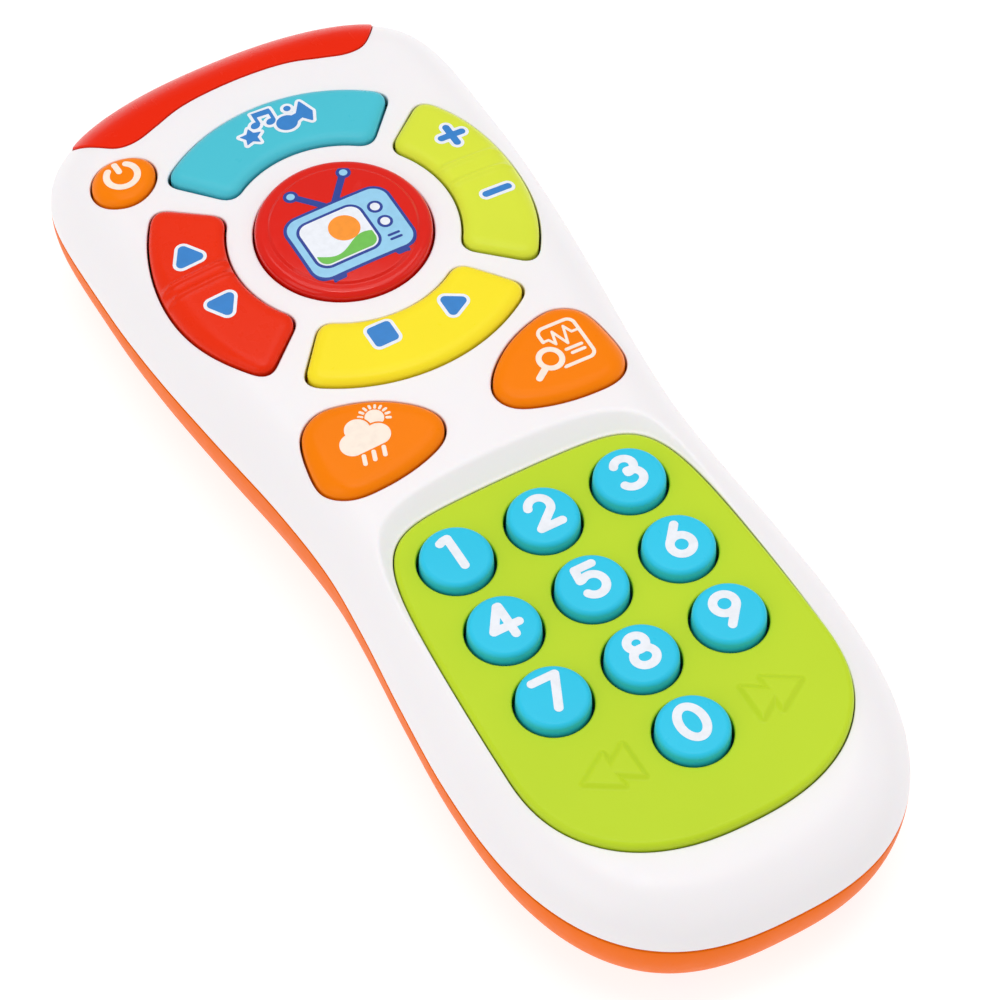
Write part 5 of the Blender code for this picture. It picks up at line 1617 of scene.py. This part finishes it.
def pair(name, body, shape, box, surface, rim=0.5, step=0.1):
    """Blue symbol with a white outline."""
    x0, x1, y0, y1 = box
    mark(name + "_rim", body, INK_WHITE, grown(shape, rim), (x0 - 1, x1 + 1, y0 - 1, y1 + 1), surface, 0.035, step)
    mark(name, body, INK_BLUE, shape, (x0 - 0.3, x1 + 0.3, y0 - 0.3, y1 + 0.3), surface, 0.06, step)


top = TOPS["channel_rocker"]
pair("mark_up", "channel_rocker", polygon([(-21.95, 49.2), (-24.7, 44.8), (-19.3, 44.8)], 0.75), (-25, -19, 44.5, 49.5), top)
pair("mark_down", "channel_rocker", polygon([(-21.65, 32.9), (-18.95, 37.3), (-24.35, 37.3)], 0.75), (-24.6, -18.6, 32.6, 37.6), top)
top = TOPS["volume_rocker"]
pair("mark_plus", "volume_rocker", either(stroke([(20.85, 47.9), (24.25, 47.9)], 0.55), stroke([(22.55, 46.2), (22.55, 49.6)], 0.55)),
     (20, 25.1, 45.3, 50.5), top)
pair("mark_minus", "volume_rocker", stroke([(21.15, 35.1), (24.85, 35.1)], 0.55), (20.3, 25.7, 34.3, 35.9), top)
top = TOPS["stop_play_rocker"]
pair("mark_stop", "stop_play_rocker", panel(-4.67, 19.25, 1.85, 1.85, 0.65), (-6.8, -2.5, 17.1, 21.4), top)
pair("mark_play", "stop_play_rocker", polygon([(5.35, 21.5), (5.35, 16.75), (9.5, 19.1)], 0.7), (5.2, 9.6, 16.5, 21.6), top)
top = TOPS["music_button"]


def star(cx, cy, r, turn):
    p = []
    for i in range(10):
        q = math.radians(turn + 36 * i)
        p.append((cx + (r if i % 2 == 0 else r * 0.52) * math.cos(q), cy + (r if i % 2 == 0 else r * 0.52) * math.sin(q)))
    return polygon(p)


quavers = either(blob(-1.75, 63.75, 0.78, 0.6, 20), blob(0.62, 63.35, 0.78, 0.6, 20), stroke([(-1.15, 63.9), (-1.05, 65.75)], 0.26),
                 stroke([(1.2, 63.5), (1.35, 65.5)], 0.26), polygon([(-1.3, 66.2), (-1.25, 65.2), (1.45, 64.9), (1.6, 65.95)]))
horn = either(blob(2.55, 61.9, 1.62, 1.5, 0), polygon([(3.2, 62.8), (4.6, 63.0), (6.1, 65.1), (7.0, 62.2), (6.1, 60.3), (5.0, 61.7), (3.6, 61.2)], 0.15),
              blob(3.9, 64.5, 0.55))
pair("mark_music", "music_button", either(star(-3.35, 62.0, 1.75, 80), quavers, horn), (-5.3, 7.4, 60, 66.5), top, 0.48)
top = TOPS["power_button"]
mark("mark_power", "power_button", INK_CREAM,
     either(stroke(arc_pts(-22.9, 65.65, 2.3, 2.3, 130, 410, 50), 0.5), stroke([(-22.95, 68.15), (-22.95, 66.5)], 0.45)),
     (-26.3, -19.8, 62.2, 68.8), top, 0.05)
top = TOPS["weather_button"]
cloud = either(blob(-15.85, 6.35, 1.85), blob(-17.55, 4.45, 1.9), blob(-13.6, 4.35, 1.8), panel(-15.6, 3.9, 2.2, 1.35, 0.5))
rays = [stroke([(-12.75 + 1.75 * math.cos(q), 7.0 + 1.75 * math.sin(q)), (-12.75 + 2.25 * math.cos(q), 7.0 + 2.25 * math.sin(q))], 0.2)
        for q in np.radians(np.arange(-28, 150, 22))]
sun = minus(either(blob(-12.75, 7.0, 1.38), *rays), cloud, 0.3)
rain = either(*[stroke([(x, 2.0), (x - 0.42, 0.75)], 0.32) for x in (-17.15, -15.6, -14.0)])
mark("mark_weather", "weather_button", INK_CREAM, either(cloud, sun, rain), (-20, -10, 0, 9.8), top, 0.05)
top = TOPS["search_button"]
glass = either(stroke(arc_pts(13.97, 4.0, 1.68, 1.68, 0, 360, 44), 0.42), stroke([(12.4, 2.75), (10.85, 1.65)], 0.5))
page = minus(either(stroke([(14.5, 7.0), (14.5, 8.1)] + arc_pts(15.6, 8.15, 1.1, 1.1, 180, 90, 10) + [(19.2, 9.25)]
                           + arc_pts(19.2, 8.15, 1.1, 1.1, 90, 0, 10) + [(20.3, 2.9)] + arc_pts(19.2, 2.85, 1.1, 1.1, 0, -90, 10)
                           + [(15.2, 1.75)], 0.27),
                    stroke([(14.5, 7.0), (15.4, 7.0), (16.0, 5.9), (16.55, 8.1), (17.6, 5.3), (18.5, 8.3), (19.1, 6.9), (20.2, 6.9)], 0.2),
                    stroke([(16.8, 4.4), (19.3, 4.4)], 0.25), stroke([(17.3, 3.5), (19.3, 3.5)], 0.25)), blob(13.97, 4.0, 2.1), 0.3)
mark("mark_search", "search_button", INK_CREAM, either(glass, page), (9.9, 21, 0.8, 10), top, 0.05, 0.09)


def disc_top(x, y):
    return disc_z(np.hypot(x, y - RING_Y))


def picture(name, mat, shape, lift, box=(-10, 10, 29, 50), step=0.11):
    mark("picture_" + name, "tv_button", mat, shape, box, disc_top, lift, step)


cab = panel(0.0, 37.6, 8.1, 5.9, 2.3)
ant = either(stroke([(-0.4, 43.2), (-4.1, 47.6)], 0.42), stroke([(0.4, 43.2), (4.4, 48.0)], 0.42), blob(-4.3, 47.8, 1.0), blob(4.6, 48.2, 1.0))
feet = either(polygon([(-5.6, 32.4), (-6.4, 30.6), (-4.2, 30.6), (-3.6, 32.4)], 0.3), polygon([(5.6, 32.4), (6.4, 30.6), (4.2, 30.6), (3.6, 32.4)], 0.3))
screen = panel(-1.75, 37.7, 4.9, 4.2, 1.7)
picture("edge", INK_NAVY, either(grown(cab, 0.5), grown(ant, 0.12), feet), 0.03)
picture("case", INK_SKY, either(cab, blob(-4.3, 47.8, 0.62), blob(4.6, 48.2, 0.62)), 0.055)
picture("screen_edge", INK_NAVY, either(grown(screen, 0.45), blob(5.4, 40.0, 1.15), blob(5.4, 36.9, 1.15)), 0.08)
picture("screen", INK_WHITE, either(screen, blob(5.4, 40.0, 0.72), blob(5.4, 36.9, 0.72)), 0.105)
picture("sun", INK_ORANGE, both(blob(-0.4, 38.6, 2.35), grown(screen, -0.25)), 0.125)
hill = lambda x, y: y - (35.6 + 1.0 * np.sin((x + 1.0) * 0.62))
picture("hill", INK_GREEN, both(hill, grown(screen, -0.25)), 0.145)
picture("grid", INK_NAVY, either(stroke([(4.6, 34.3), (6.2, 34.3)], 0.2), stroke([(4.6, 33.5), (6.2, 33.5)], 0.2)), 0.09)


# ----------------------------------------------------- floor, light, camera -
def make_floor():
    me = bpy.data.meshes.new("floor")
    s = 4.0
    me.from_pydata([(-s, -s, -0.00003), (s, -s, -0.00003), (s, s, -0.00003), (-s, s, -0.00003)], [], [(0, 1, 2, 3)])
    ob = bpy.data.objects.new("floor", me)
    bpy.context.scene.collection.objects.link(ob)
    m = bpy.data.materials.new("floor_paper")
    m.use_nodes = True
    nt = m.node_tree
    b = nt.nodes["Principled BSDF"]
    b.inputs["Roughness"].default_value = 0.9
    b.inputs["Specular IOR Level"].default_value = 0.0
    at = node(nt, "ShaderNodeTexCoord")
    nz = node(nt, "ShaderNodeTexNoise")
    nz.inputs["Scale"].default_value = 60.0
    nt.links.new(at.outputs["Object"], nz.inputs["Vector"])
    ramp = node(nt, "ShaderNodeValToRGB")
    ramp.color_ramp.elements[0].color = (0.38, 0.38, 0.38, 1)
    ramp.color_ramp.elements[1].color = (0.40, 0.40, 0.40, 1)
    nt.links.new(nz.outputs["Fac"], ramp.inputs["Fac"])
    nt.links.new(ramp.outputs["Color"], b.inputs["Base Color"])
    b.inputs["Emission Color"].default_value = (1, 1, 1, 1)
    b.inputs["Emission Strength"].default_value = 0.78
    me.materials.append(m)


make_floor()


def area(name, at, to, size, power, colour=(1, 1, 1)):
    d = bpy.data.lights.new(name, "AREA")
    d.shape = "RECTANGLE"
    d.size, d.size_y = size
    d.energy = power
    d.color = colour
    ob = bpy.data.objects.new(name, d)
    ob.location = at
    ob.rotation_euler = (Vector(to) - Vector(at)).to_track_quat("-Z", "Y").to_euler()
    bpy.context.scene.collection.objects.link(ob)


area("key_light", (0.15, 0.25, 1.3), (0, 0, 0), (1.3, 1.0), 6.9)
area("left_light", (-1.2, -0.2, 0.75), (0, 0, 0.01), (0.9, 0.9), 2.8)
area("strip_light", (-0.05, -0.12, 1.25), (0, 0, 0.02), (0.6, 0.08), 1.5)
area("right_light", (1.2, -0.5, 0.8), (0, 0, 0.01), (0.9, 0.9), 1.5)

world = bpy.data.worlds.new("studio")
bpy.context.scene.world = world
world.use_nodes = True
bg = world.node_tree.nodes.get("Background") or world.node_tree.nodes.new("ShaderNodeBackground")
bg.inputs["Color"].default_value = (1, 1, 1, 1)
bg.inputs["Strength"].default_value = 0.51

cam_data = bpy.data.cameras.new("camera")
cam = bpy.data.objects.new("camera", cam_data)
bpy.context.scene.collection.objects.link(cam)
cam_data.sensor_width = 36.0
cam_data.lens = 4236.6 / 1000 * 36.0
cam_data.clip_start, cam_data.clip_end = 0.01, 20.0
eye, aim = Vector((-0.17621, -0.31549, 0.49747)), Vector((-0.00369, -0.0126, 0.0252))
cam.location = eye
cam.rotation_euler = (aim - eye).to_track_quat("-Z", "Y").to_euler()
bpy.context.scene.camera = cam
bpy.context.scene.view_settings.view_transform = "Standard"
bpy.context.scene.view_settings.look = "None"
